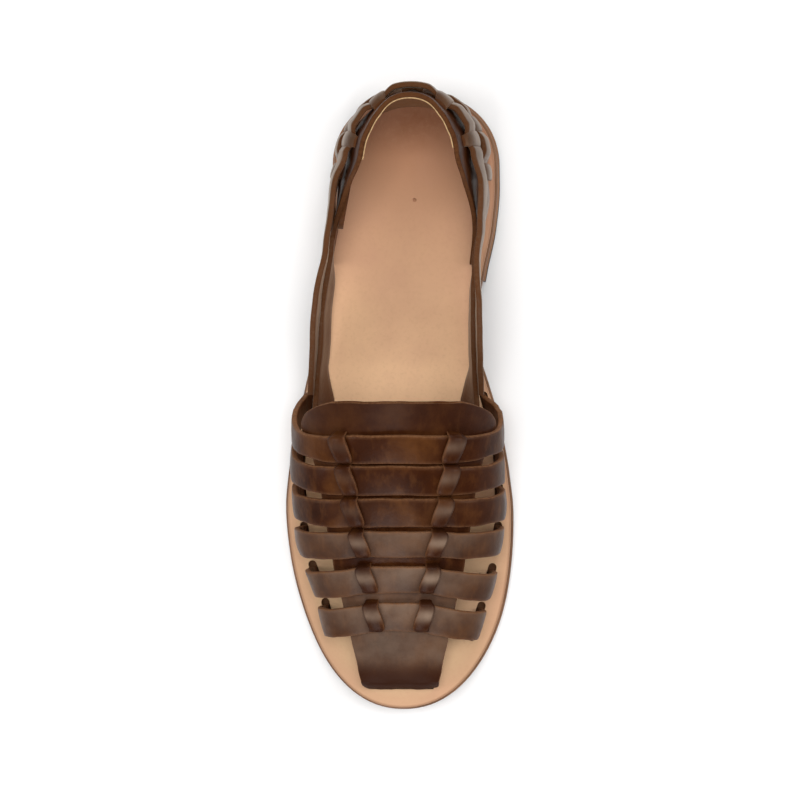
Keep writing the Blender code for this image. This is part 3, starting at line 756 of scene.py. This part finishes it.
def rounded_edge(bottom, top, corner):
    """Profile of a layer's edge between two heights, with rounded corners."""
    rounding = [(corner * (math.sqrt(max(1 - (1 - share) ** 2, 0.0)) - 1), corner * share)
                for share in CORNER_STEPS]
    profile = [(out, bottom + rise, {"rim": 0.6}) for out, rise in rounding]
    return profile + [(out, top - rise, {"rim": 0.6}) for out, rise in reversed(rounding)]


def footbed_profile(station):
    """Edge of the footbed and the margin of its top."""
    top = footbed_top(station)
    profile = rounded_edge(top - FOOTBED_THICKNESS, top, SOLE_CORNER)
    profile[-2] = (*profile[-2][:2], {"rim": 0.9})
    profile[-1] = (profile[-1][0], top, {"rim": 0.3, "margin": 1.0})
    return profile + [(-inset, top, {"margin": share}) for inset, share in MARGIN]


def lifts_profile(bottom, top, count, lean):
    """Edge of a stack of lifts with a fine groove between them."""
    groove = LIFT_GROOVE
    profile = []
    for lift in range(count):
        low = bottom + (top - bottom) * lift / count
        high = bottom + (top - bottom) * (lift + 1) / count
        for out, height in ((-groove, low), (0.0, low + groove), (0.0, high - groove), (-groove, high)):
            share = (height - bottom) / (top - bottom)
            profile.append((out + lean * share, height, {}))
    return profile


# Vamp: start and run, or middle and reach, of what fades along it, and small lengths

TONGUE_SIDE = (0.6, 0.4)
STRAP_SIDE = (0.75, 0.35)
FLAP_SPAN = (0.52, 0.06)
FLAP_DARK = 0.55
TOE_SPAN = (0.75, 0.1)
# Painted highlight on the tongue towards the toe and across the straps' crowns
TOE_PAINTED_HIGHLIGHT = 0.42
CROWN_HIGHLIGHT_REACH = 0.5
BEND_SHARES = (1.5, 0.9)
WOBBLE_RUN = 0.05
UNEVEN_WIDTH = 0.06
UNEVEN_LIFT = 0.0003
UNEVEN_EDGE = 0.0004
UNEVEN_BAND = 0.0002
RAGGED = 0.0014
RAGGED_REACH = 0.004
WAIST_BELL = (0.66, 0.24)
BEND_BELL = (0.86, 0.16)
# Where the painted highlight on each band arch peaks
HIGHLIGHT_BELL = (-0.25, 0.42)
HELD_REACH = 0.10
PINCH_REACH = 0.05
STRAP_RISE = 0.0010
BAND_RISE = 0.0006
BAND_DIP = 0.0006
BAND_CROWN = 0.0005
BAND_PAST = 1.16
ARCH_END = 1.12
BELLY_END = 1.08
TOUCH = 0.0002


def slide(lead, share):
    """How far a strap's line has run along the sole at a share of the widest reach, in stations."""
    rise = math.sqrt(max(1 - share * share, 0.0))
    part = (1 - rise) ** LEAD_CURVE if lead < 0 else share ** 2
    return lead * part + DROOP * (2 * share * rise) ** 2


def vamp_point(station, across, lateral, medial, sweep=0.0):
    """Inner face of the vamp: across is 0 at the crown, 1 at the widest and 2 in the slot."""
    side, name, lead = (-1, "lateral", lateral) if across < 0 else (1, "medial", medial)
    reach = abs(across)
    width = BALL_WIDTH * LAST_AT[name](station)
    crown = INSTEP_HEIGHT * LAST_AT["crown"](station)
    widest = WIDEST_SHARE * crown
    angle = min(reach, 1.0) * math.pi / 2
    drop = max(reach - 1, 0.0)
    depth = drop * (widest + SLOT_DEPTH)
    place = station + slide(lead, math.sin(angle)) + sweep * drop
    sole_edge = BALL_WIDTH * (side * OUTLINE_AT["centre"](place) + OUTLINE_AT["half"](place))
    tuck = max(TUCK, width - sole_edge + SLOT_MARGIN) * min(depth / widest, 1.0) ** TUCK_CURVE
    height = footbed_top(place) + widest - depth + (crown - widest) * math.cos(angle)
    return Vector((side * (width * math.sin(angle) - tuck), y_at(place), height))


def lead_at(name, station):
    """How far the straps' lines run ahead of the crown on one side, in stations."""
    return STRAPS_AT[name](station) - STRAPS_AT["station"](station)


def strap_surface(strap):
    """Vamp surface whose cross lines run like one strap."""
    lateral = strap["lateral"] - strap["station"]
    medial = strap["medial"] - strap["station"]
    return lambda station, across: vamp_point(station, across, lateral, medial, strap["sweep"])


def base_normal(surface, along, across):
    """Point of a surface and the outward direction there."""
    step = NORMAL_STEP
    run = surface(along + step, across) - surface(along - step, across)
    turn = surface(along, across + step) - surface(along, across - step)
    return surface(along, across), run.cross(turn).normalized()


def seen_base(station, x):
    """Point and outward direction of the vamp at a place as seen from above."""
    name = "lateral" if x < 0 else "medial"

    def surface(along, across):
        """Vamp surface with the straps' own lead."""
        return vamp_point(along, across, lead_at("lateral", along), lead_at("medial", along))

    along = station
    for _ in range(6):
        share = min(abs(x) / (BALL_WIDTH * LAST_AT[name](along)), 0.995)
        along = station - slide(lead_at(name, along), share)
    across = math.copysign(math.asin(share) / (math.pi / 2), x)
    return base_normal(surface, along, across)


def strap_half_share(strap):
    """Half of a strap's width along the sole, as a share of its length."""
    step = SLOPE_STEP
    station = strap["station"]
    fall = INSTEP_HEIGHT * (LAST_AT["crown"](station - step) - LAST_AT["crown"](station + step))
    run = 2 * step * LENGTH
    return STRAP_WIDTH * strap["width"] / 2 * run / math.hypot(run, fall) / LENGTH


def strap_lift(across):
    """How far a vamp strap's inner face lies outside the last."""
    return (TONGUE_THICKNESS - EMBED) * (1 - onset(abs(across), *TONGUE_SIDE))


def band_across(strap, side):
    """Where a band crosses a strap, across the strap."""
    x = BALL_WIDTH * TONGUE_AT["band"](strap["station"])
    name = "lateral" if side < 0 else "medial"
    return side * math.asin(x / (BALL_WIDTH * LAST_AT[name](strap["station"]))) / (math.pi / 2)


def vamp_strap(number, strap):
    """One strap across the foot, held down by both bands and turned down into its slots."""
    half = strap_half_share(strap)
    surface = strap_surface(strap)
    reaches = [step / CROWN_STEPS for step in range(CROWN_STEPS)]
    reaches += [1 + step / TURNED_STEPS for step in range(TURNED_STEPS + 1)]
    crossings = [band_across(strap, side) for side in (-1, 1)]
    sections = []
    tones = []
    for across in [-reach for reach in reversed(reaches[1:])] + reaches:
        widths = []
        along = across * WOBBLE_RUN
        for edge in SAMPLES:
            uneven = 1 + wobble(number * 2 + (edge > 0), along, UNEVEN_WIDTH)
            if edge > 0:
                uneven -= strap["waist"] * bell(abs(across), *WAIST_BELL)
            widths.append(base_normal(surface, strap["station"] + edge * half * uneven, across))
        held = max(bell(across, crossing, HELD_REACH) for crossing in crossings)
        free = (1 - held) * (1 - onset(abs(across), *STRAP_SIDE))
        lift = strap_lift(across) + STRAP_RISE * free + wobble(number + 20, along, UNEVEN_LIFT)
        sections.append(lambda w, height, widths=widths, lift=lift: spread(widths, w, lift + height))
        # Painted highlight on the crown and the side bends, stronger on the outer side, and painted
        # shadow where the bands cross
        middle = math.exp(-(abs(across) / CROWN_HIGHLIGHT_REACH) ** 4)
        bend = SIDE_PAINTED_HIGHLIGHT * bell(abs(across), *BEND_BELL) * BEND_SHARES[across >= 0]
        shadow = PINCH_SHADOW * max(bell(across, crossing, PINCH_REACH) for crossing in crossings)
        tones.append((strap["painted_highlight"] * (0.4 + 0.75 * middle) + bend, shadow))

    def tone(section, w):
        """Painted highlight, strongest at the heel-side edge and fading to the toe side, and the painted
        shadow beside the bands.
        """
        painted_highlight, dark = tones[section]
        return {"painted_highlight": painted_highlight * (0.85 - 0.45 * w), "dark": dark}

    made = strip(f"vamp_strap_{number}", sections, STRAP_WIDTH * strap["width"] / 2, STRAP_THICKNESS,
                 STRAP_CROWN, tone=tone)
    belongs(made, "vamp")


def tongue():
    """Plate under the straps, bent down into the footbed at the toe."""
    rings = []
    first = TONGUE[0]["station"]
    last = TONGUE[-1]["station"]
    steps = TONGUE_STEPS
    stations = [first + offset for offset in TONGUE_STARTS]
    stations += [stations[-1] + (last - stations[-1]) * (step + 1) / steps for step in range(steps)]
    shares = [step / TONGUE_COUNT for step in range(-TONGUE_COUNT, TONGUE_COUNT + 1)]
    for station in stations:
        half = BALL_WIDTH * TONGUE_AT["half"](station) + wobble(31, station * LENGTH, UNEVEN_EDGE)
        ragged = RAGGED if station < first + RAGGED_REACH else 0.0
        row = [seen_base(station + wobble(33, share * half, ragged), share * half) for share in shares]
        # Painted shade over the tab's bend, a darker top end, and painted highlight towards the toe
        dark = onset(station, TAB_SHADE_START, last - TAB_SHADE_START)
        dark += FLAP_DARK * (1 - onset(station, *FLAP_SPAN))
        wear_and_painted_light = {"dark": dark, "painted_highlight": TOE_PAINTED_HIGHLIGHT * onset(station, *TOE_SPAN) * (1 - dark)}
        rings.append([(place, {**values, **wear_and_painted_light}) for place, values in tongue_ring(row, half)])
    rings += tab_rings(rings[-1])
    made = skin("vamp_tongue", rings, BROWN)
    belongs(made, "vamp")


def tongue_ring(row, half):
    """Section of the tongue over a row of points with their directions."""
    last = len(row) - 1
    inner = 1 - CORNER / half
    inset = [-inner, *(step / last * 2 - 1 for step in range(1, last)), inner]
    edge = cut_edge(half, TONGUE_THICKNESS)
    profile = [(w, TONGUE_THICKNESS, {"rim": 0.25 if abs(w) > 0.98 else 0.0}) for w in inset]
    profile += edge + [(w, 0.0, {"flesh": 1.0}) for w in reversed(inset)] + mirrored(edge)
    return [(spread(row, w, height), values) for w, height, values in profile]


def tab_rings(last_ring):
    """Toe end of the tongue, bent down through the footbed."""
    rings = []
    start = y_at(TONGUE[-1]["station"])
    end = y_at(TAB_STATION)
    seat = footbed_top(TAB_STATION)
    top_z = max(place.z for place, _ in last_ring)
    for step in range(1, TAB_STEPS + 1):
        angle = step / TAB_STEPS * math.pi / 2
        ring = []
        for place, values in last_ring:
            depth = place.z - top_z
            out = TONGUE_THICKNESS if "flesh" not in values else 0.0
            round_corner = TAB_CORNER * (abs(place.x) / TAB_HALF_WIDTH) ** 8
            wear_and_painted_light = (round_corner + wobble(35, place.x * 1.5, 0.0005)) * math.sin(angle)
            y = start + (end - start) * math.sin(angle) - out * math.sin(angle) * 0.8 + wear_and_painted_light
            z = seat + (top_z + depth * math.cos(angle) - seat) * math.cos(angle)
            x = place.x * (1 - TAB_DRAW * math.sin(angle) ** 2)
            # The bent-down end is all painted shade
            ring.append((Vector((x, y, max(z, seat - SLOT_DEPTH))), {**values, "rim": 0.0, "dark": 1.0}))
        rings.append(ring)
    bottom = seat - SLOT_DEPTH
    rings.append([(Vector((place.x, place.y, bottom)), values) for place, values in rings[-1]])
    return rings


def vamp_band(name, side):
    """Narrow band slit from the tongue that arches over all six straps on one side."""
    low = TONGUE_THICKNESS - BAND_THICKNESS - BAND_DIP
    high = TONGUE_THICKNESS - EMBED + STRAP_THICKNESS + STRAP_CROWN - TOUCH
    first, last = STRAPS[0], STRAPS[-1]
    start = first["station"] - BAND_PAST * strap_half_share(first)
    end = last["station"] + BAND_PAST * strap_half_share(last)
    sections = []
    tones = []
    for step in range(BAND_STEPS + 1):
        station = start + (end - start) * step / BAND_STEPS
        strap = min(STRAPS, key=lambda one: abs(station - one["station"]))
        along = (station - strap["station"]) / strap_half_share(strap)
        arch = max(1 - abs(along / ARCH_END) ** 9, 0.0) ** 0.5
        belly = max(1 - abs(along / BELLY_END) ** 2, 0.0)
        # Painted highlight near the heel side of each arch, stronger on the medial band, and painted
        # shade in the dips, darker towards the toe side
        sheen = strap["painted_highlight"] * 1.3 + (BAND_PAINTED_HIGHLIGHT if side > 0 else 0.12)
        tones.append({"dark": BAND_PINCH_SHADE * min((1 - belly) ** 1.3 * (0.9 + 0.4 * along), 1.0),
                      "painted_highlight": sheen * bell(along, *HIGHLIGHT_BELL)})
        width = BAND_WIDTH / 2 * (0.70 + 0.26 * belly ** 0.6)
        width += wobble(41 + side, station * LENGTH, UNEVEN_BAND)
        slant = BAND_SLANT * along * max(1 - along ** 6, 0.0)
        middle = side * (BALL_WIDTH * TONGUE_AT["band"](station) - slant)
        row = [seen_base(station, middle + edge * width) for edge in SAMPLES]
        lift = low + (high - low) * arch + BAND_RISE * belly * arch
        sections.append(lambda w, height, row=row, lift=lift: spread(row, w, lift + height))
    made = strip(name, sections, BAND_WIDTH / 2, BAND_THICKNESS, BAND_CROWN, BAND_BROWN,
                 tone=lambda section, w: tones[section], creased_side=side)
    belongs(made, "vamp")


# Heel: shares of a turn, small heights and the tail's place

TURN_STEP = 0.02
LOOP_RUN = 0.07
BRIDGE_CROWN = 0.0004
TAIL_START = -1.02
TAIL_RUN = 0.255
TAIL_LEVEL = 0.7
LINING_GAP = 0.00005
LINING_DROP = 0.0003


def rear_plan(turn):
    """Station, side shift and outward direction of the upper's base line.

    The turn is 0 at the back, 1 where the round heel ends and 2 at the end of the side straps.
    """
    side = -1 if turn < 0 else 1
    start = COUNTER_BACK / LENGTH
    round_share = COUNTER_ROUND / LENGTH

    def place(at):
        """Station and side shift at one turn."""
        angle = min(at, 1.0) * math.pi / 2
        power = 2 / HEEL_FULLNESS
        station = start + round_share * (1 - max(math.cos(angle), 0.0) ** power)
        station += max(at - 1, 0.0) * (SIDE_END - start - round_share)
        half = BALL_WIDTH * REAR_AT["half"](station) * max(math.sin(angle), 0.0) ** power
        return station, BALL_WIDTH * REAR_AT["centre"](station) + side * half

    reach = abs(turn)
    station, x = place(reach)
    before, after = place(max(reach - TURN_STEP, 0.0)), place(reach + TURN_STEP)
    run = Vector((after[1] - before[1], -(after[0] - before[0]) * LENGTH, 0)).normalized()
    outward = Vector((-run.y, run.x, 0)) * side
    if reach < 0.001:
        outward = Vector((0, 1, 0))
    return station, x, outward


def rear_place(turn, height, lean_name, out):
    """Place outside the inner face of counter or side strap, at a height above the footbed."""
    station, x, outward = rear_plan(turn)
    share = height / COUNTER_HEIGHT
    lean = BALL_WIDTH * REAR_AT[lean_name](station) * share
    bulge = COUNTER_BULGE * REAR_AT["bulge"](station) * 4 * share * (1 - share)
    base = Vector((x, y_at(station), footbed_top(station) + GAP + height))
    return base + outward * (lean + bulge + out)


def angle_turn(degrees):
    """Turn round the base line at an angle from the back, past the round end too."""
    if abs(degrees) <= 90:
        return degrees / 90
    straight = SIDE_END * LENGTH - COUNTER_BACK - COUNTER_ROUND
    past = COUNTER_ROUND * math.radians(abs(degrees) - 90)
    return math.copysign(1 + past / straight, degrees)


def even_turns(end, steps):
    """Turns from one side to the other, close together round the heel."""
    half = [step / HEEL_STEPS for step in range(HEEL_STEPS + 1)]
    half += [1 + (end - 1) * (step + 1) / steps for step in range(steps)]
    return [-turn for turn in reversed(half[1:])] + half


def counter_wall(name, inner, outer, drop, ends, material):
    """Wall round the heel whose top falls away to the waist."""
    rings = []
    thick = outer - inner
    corner = min(CORNER, thick * 0.3)
    for turn in even_turns(WALL_ENDS[1], WALL_STEPS):
        if not ends[0] <= turn <= ends[1]:
            continue
        station = rear_plan(turn)[0]
        top = COUNTER_HEIGHT * REAR_AT["top"](station) - drop
        top += wobble(51, turn * WOBBLE_RUN, UNEVEN_EDGE)
        flare = WALL_FLARE * onset(-turn, WALL_FLARE_START, WALL_ENDS[1] - WALL_FLARE_START)
        profile = [(share * (top - corner), outer, {}) for share in WALL_SHARES]
        profile += [(top - 0.3 * corner, outer - 0.3 * corner, {"rim": 0.8}),
                    (top, outer - corner, {"rim": 1.0}), (top, inner + corner, {"rim": 1.0}),
                    (top - 0.3 * corner, inner + 0.3 * corner, {"rim": 0.9})]
        profile += [(share * (top - corner), inner, {"flesh": 1.0}) for share in reversed(WALL_SHARES)]
        rings.append([(rear_place(turn, height, "lean", out + flare), values)
                      for height, out, values in profile])
    made = skin(name, rings, material)
    belongs(made, "heel_counter")


def loop_lift(turn, bridges):
    """How far a woven strap's inner face lies outside the counter's."""
    spread_turn = angle_turn(LOOP_SPREAD)
    near = min(abs(turn - angle_turn(bridge)) for bridge in bridges)
    out = COUNTER_THICKNESS + LOOP_GAP - STRAP_SUNK
    return STRAP_SUNK + out * eased(near / spread_turn)


def foot_inward(column, turn, w):
    """How far the lower strap's foot is drawn in over the footbed, at a share of its width."""
    if column != "lower":
        return 0.0
    side = FOOT_IN_LATERAL if turn < 0 else FOOT_IN_MEDIAL
    past = max(abs(turn) - FOOT_START, 0.0)
    drawn = side * eased(past / FOOT_RUN) * (1 - FOOT_FADE * past)
    flap = FLAP_LATERAL if turn < 0 else FLAP_MEDIAL
    turned = flap * min(max((abs(turn) - FLAP_START) / (2 - FLAP_START), 0.0), 1.0)
    return (drawn + turned) * ((1 - w) / 2) ** 1.5


def heel_tone(number, w):
    """Painted highlight on the outside of the woven heel, stronger towards the upper edge."""
    return {"painted_highlight": HEEL_PAINTED_HIGHLIGHT * (0.75 + 0.25 * w)}


def side_strap(name, column, bridges, layer, end, seed):
    """Strap woven round the heel whose ends run forward to the vamp on both sides."""
    last_bridge = angle_turn(max(bridges))
    sections = []
    for turn in even_turns(end, HEEL_STEPS):
        station = rear_plan(turn)[0]
        middle = COUNTER_HEIGHT * REAR_AT[column](station)
        free = onset(abs(turn), last_bridge, FREE_LENGTH)
        lift = loop_lift(turn, bridges) * (1 - free) + layer * free
        half = STRAP_WIDTH / 2 + wobble(seed, turn * LOOP_RUN, UNEVEN_LIFT)
        low = max(middle - half, 0.0)
        high = middle + half
        lift += wobble(seed + 1, turn * LOOP_RUN, UNEVEN_EDGE) * free

        def place(w, height, turn=turn, low=low, high=high, lift=lift):
            """Point of this section."""
            level = low + (high - low) * (w + 1) / 2
            return rear_place(turn, level, "strap_lean", lift + height - foot_inward(column, turn, w))

        sections.append(place)
    made = strip(name, sections, STRAP_WIDTH / 2, STRAP_THICKNESS, STRAP_CROWN, HEEL_BROWN, heel_tone)
    belongs(made, "heel_counter")


def bridge(name, column, degrees):
    """Piece of the counter between two slits that holds a strap down."""
    half_angle = math.degrees(BRIDGE_WIDTH / 2 / COUNTER_ROUND)
    station = rear_plan(angle_turn(degrees))[0]
    middle = COUNTER_HEIGHT * REAR_AT[column](station)
    reach = STRAP_WIDTH / 2 + BRIDGE_OVERLAP
    over = STRAP_SUNK + STRAP_THICKNESS + STRAP_CROWN - TOUCH
    sections = []
    for step in range(BRIDGE_STEPS + 1):
        share = step / BRIDGE_STEPS * 2 - 1
        rise = max(1 - abs(share) ** 4, 0.0) ** 0.7
        inner = EMBED + (over - EMBED) * rise
        narrow = 1 - 0.15 * abs(share) ** 2

        def place(w, height, share=share, inner=inner, narrow=narrow):
            """Point of this section."""
            turn = angle_turn(degrees + w * half_angle * narrow)
            return rear_place(turn, middle + share * reach, "strap_lean", inner + height)

        sections.append(place)
    made = strip(name, sections, BRIDGE_WIDTH / 2, BRIDGE_THICKNESS, BRIDGE_CROWN, HEEL_BROWN, heel_tone)
    belongs(made, "heel_counter")


def strap_tail():
    """Round tail of the upper strap, laid inside the counter on the outer side."""
    sections = []
    for step in range(TAIL_STEPS + 1):
        share = step / TAIL_STEPS
        turn = TAIL_START - TAIL_RUN * share
        round_end = max((share - 0.75) / 0.25, 0.0)
        half = TAIL_WIDTH / 2 * math.sqrt(max(1 - round_end ** 2, 0.02))
        middle = TAIL_LEVEL * COUNTER_HEIGHT * REAR_AT["upper"](rear_plan(turn)[0])

        def place(w, height, turn=turn, half=half, middle=middle):
            """Point of this section."""
            return rear_place(turn, middle + w * half, "lean", EMBED - STRAP_THICKNESS + height)

        sections.append(place)
    made = strip("strap_tail", sections, TAIL_WIDTH / 2, STRAP_THICKNESS, 0.0, HEEL_BROWN)
    belongs(made, "heel_counter")


# Slots in the footbed: how far down a strap they lie, and the wider ones at the toe

SLOT_REACH = 1.8
TOE_START = 0.75
TOE_SLOT_MORE = 0.0012


def slot_cutter(strap, side):
    """Upright slot with round ends where a strap end goes through the footbed."""
    half = strap_half_share(strap)
    surface = strap_surface(strap)
    ends = []
    for edge in (-1, 1):
        place, normal = base_normal(surface, strap["station"] + edge * half, side * SLOT_REACH)
        ends.append(place + normal * STRAP_THICKNESS / 2)
    first, last = ends
    run = Vector((last.x - first.x, last.y - first.y, 0)).normalized()
    radius = STRAP_THICKNESS / 2 + SLOT_CLEARANCE
    if strap["station"] > TOE_START:
        first = first - run * TOE_SLOT_MORE
    top = footbed_top(strap[("lateral", "medial")[side > 0]]) + FOOTBED_THICKNESS
    ring = []
    for centre, start in ((last, -90), (first, 90)):
        for step in range(SLOT_STEPS + 1):
            angle = math.radians(start + 180 * step / SLOT_STEPS) + math.atan2(run.y, run.x)
            ring.append(Vector((centre.x + radius * math.cos(angle),
                                centre.y + radius * math.sin(angle), 0)))
    return upright_cutter(ring, top - 3 * FOOTBED_THICKNESS, top)


def upright_cutter(outline, low, high):
    """Upright block over an outline, used only to cut."""
    mesh = bmesh.new()
    rows = [[mesh.verts.new(Vector((point.x, point.y, height)) + SHIFT) for point in outline]
            for height in (low, high)]
    joined(mesh, *rows)
    for row in rows:
        mesh.faces.new(row)
    bmesh.ops.recalc_face_normals(mesh, faces=mesh.faces)
    data = bpy.data.meshes.new("cutter")
    mesh.to_mesh(data)
    mesh.free()
    return added("cutter", data)


def cut(part, cutters):
    """A piece with all cutters taken out of it."""
    for cutter in cutters:
        change = part.modifiers.new("slot", "BOOLEAN")
        change.operation = "DIFFERENCE"
        change.object = cutter
    bpy.context.view_layer.update()
    graph = bpy.context.evaluated_depsgraph_get()
    data = bpy.data.meshes.new_from_object(part.evaluated_get(graph))
    part.modifiers.clear()
    part.data = data
    for cutter in cutters:
        bpy.data.objects.remove(cutter)
    data.shade_smooth()
    data.set_sharp_from_angle(angle=math.radians(CUT_SHARP_ANGLE))
    return part


def build_sole():
    """Footbed with its slots, outsole, heel lifts and heel cap."""
    breast = HEEL_LENGTH / LENGTH
    footbed = sole_layer("footbed_leather", 1, -FOOTBED_INSET, footbed_profile, TAN)
    cutters = [slot_cutter(strap, side) for strap in STRAPS for side in (-1, 1)]
    tab_y = y_at(TAB_STATION) - TONGUE_THICKNESS / 2
    reach = TAB_HALF_WIDTH - 2 * TAB_CORNER
    deep = TONGUE_THICKNESS / 2 - TAB_CORNER / 2
    outline = [Vector((x, y, 0)) for x, y in ((-reach, tab_y - deep), (reach, tab_y - deep),
                                              (reach, tab_y + deep), (-reach, tab_y + deep))]
    top = footbed_top(TAB_STATION) + FOOTBED_THICKNESS
    cutters.append(upright_cutter(outline, top - 3 * FOOTBED_THICKNESS, top))
    angles = [math.radians(angle) for angle in range(0, 360, 30)]
    hole = [PINHOLE + Vector((math.cos(angle), math.sin(angle), 0)) * PINHOLE_RADIUS for angle in angles]
    seat = footbed_top(0)
    cutters.append(upright_cutter(hole, seat - PINHOLE_DEPTH, seat + FOOTBED_THICKNESS))
    belongs(cut(footbed, cutters), "footbed")
    belongs(sole_layer("outsole_leather_edge", 1, 0.0, lambda station: rounded_edge(
        sole_bottom(station), sole_bottom(station) + OUTSOLE_THICKNESS, SOLE_CORNER), SOLE_EDGE),
        "outsole")
    belongs(sole_layer("heel_lifts", breast, 0.0, lambda station: lifts_profile(
        HEEL_CAP_THICKNESS + GAP, HEEL_HEIGHT - GAP, HEEL_LIFTS, HEEL_FLARE), STACK),
        "heel_stack")
    belongs(sole_layer("heel_cap_rubber", breast, HEEL_FLARE, lambda station: rounded_edge(
        0.0, HEEL_CAP_THICKNESS, CAP_CORNER), RUBBER), "heel_cap")


def build_vamp():
    """Tongue, six straps and two bands."""
    tongue()
    for number, strap in enumerate(STRAPS):
        vamp_strap(number + 1, strap)
    vamp_band("vamp_band_lateral", -1)
    vamp_band("vamp_band_medial", 1)


def build_heel():
    """Counter, lining, both woven straps with their bridges, and the tail."""
    inner_layer = COUNTER_THICKNESS - EMBED
    outer_layer = inner_layer + STRAP_THICKNESS - EMBED
    counter_wall("counter_leather", 0.0, COUNTER_THICKNESS, 0.0, WALL_ENDS,
                 COUNTER_BROWN)
    counter_wall("counter_lining", -LINING_THICKNESS, -LINING_GAP, LINING_DROP, LINING_ENDS,
                 LINING)
    side_strap("strap_lower", "lower", LOWER_BRIDGES, inner_layer, LOWER_END, 61)
    side_strap("strap_upper", "upper", UPPER_BRIDGES, outer_layer, UPPER_END, 71)
    for column, places in (("upper", UPPER_BRIDGES), ("lower", LOWER_BRIDGES)):
        for number, degrees in enumerate(places):
            bridge(f"bridge_{column}_{number + 1}", column, degrees)
    strap_tail()


# Floor, lights and camera: each light's name, place, size, power and whether it shines

FLOOR_REACH = 4.0
FLOOR_WHITE = (0.92, 0.92, 0.92)
SKY_STRENGTH = 0.12
SOFTBOXES = (
    ("toe_softbox", (-0.25, -1.75, 1.15), 1.0, 19, True),
    ("left_softbox", (-1.7, -0.1, 1.2), 1.0, 12, True),
    ("right_softbox", (1.7, 0.1, 1.3), 1.0, 12, True),
    ("heel_softbox", (0.2, 1.7, 1.3), 1.2, 14, True),
    ("overhead_fill", (0.1, 0.2, 2.6), 1.6, 42, False),
)


def floor():
    """Plain white floor."""
    mesh = bpy.data.meshes.new("floor")
    reach = FLOOR_REACH
    mesh.from_pydata([(-reach, -reach, 0), (reach, -reach, 0), (reach, reach, 0), (-reach, reach, 0)],
                     [], [(0, 1, 2, 3)])
    look = Look("white_floor", 0.9, specular=0.1)
    look.set("Base Color", FLOOR_WHITE)
    mesh.materials.append(look.material)
    added("floor", mesh)


def softbox(name, place, size, power):
    """Square studio light aimed at the sandal."""
    light = bpy.data.lights.new(name, "AREA")
    light.shape = "SQUARE"
    light.size = size
    light.energy = power
    made = added(name, light)
    made.location = place
    made.rotation_euler = (-Vector(place)).to_track_quat("-Z", "Y").to_euler()
    return made


def studio():
    """Soft light from all sides and a camera above, turned to the sandal."""
    world = bpy.data.worlds.new("studio")
    world.use_nodes = True
    background = world.node_tree.nodes["Background"]
    background.inputs["Color"].default_value = (1, 1, 1, 1)
    background.inputs["Strength"].default_value = SKY_STRENGTH
    bpy.context.scene.world = world
    for name, place, size, power, glossy in SOFTBOXES:
        softbox(name, place, size, power).visible_glossy = glossy
    data = bpy.data.cameras.new("photo_camera")
    data.sensor_width = SENSOR_WIDTH
    data.lens = SENSOR_WIDTH * CAMERA_PLACE.z / FRAME_WIDTH
    data.clip_end = 20
    camera = added("photo_camera", data)
    camera.location = CAMERA_PLACE
    camera.rotation_euler = (-math.atan2(CAMERA_PLACE.y, CAMERA_PLACE.z),
                             math.atan2(CAMERA_PLACE.x, CAMERA_PLACE.z), 0)
    bpy.context.scene.camera = camera
    bpy.context.scene.view_settings.view_transform = "Standard"


build_sole()
build_vamp()
build_heel()
floor()
studio()
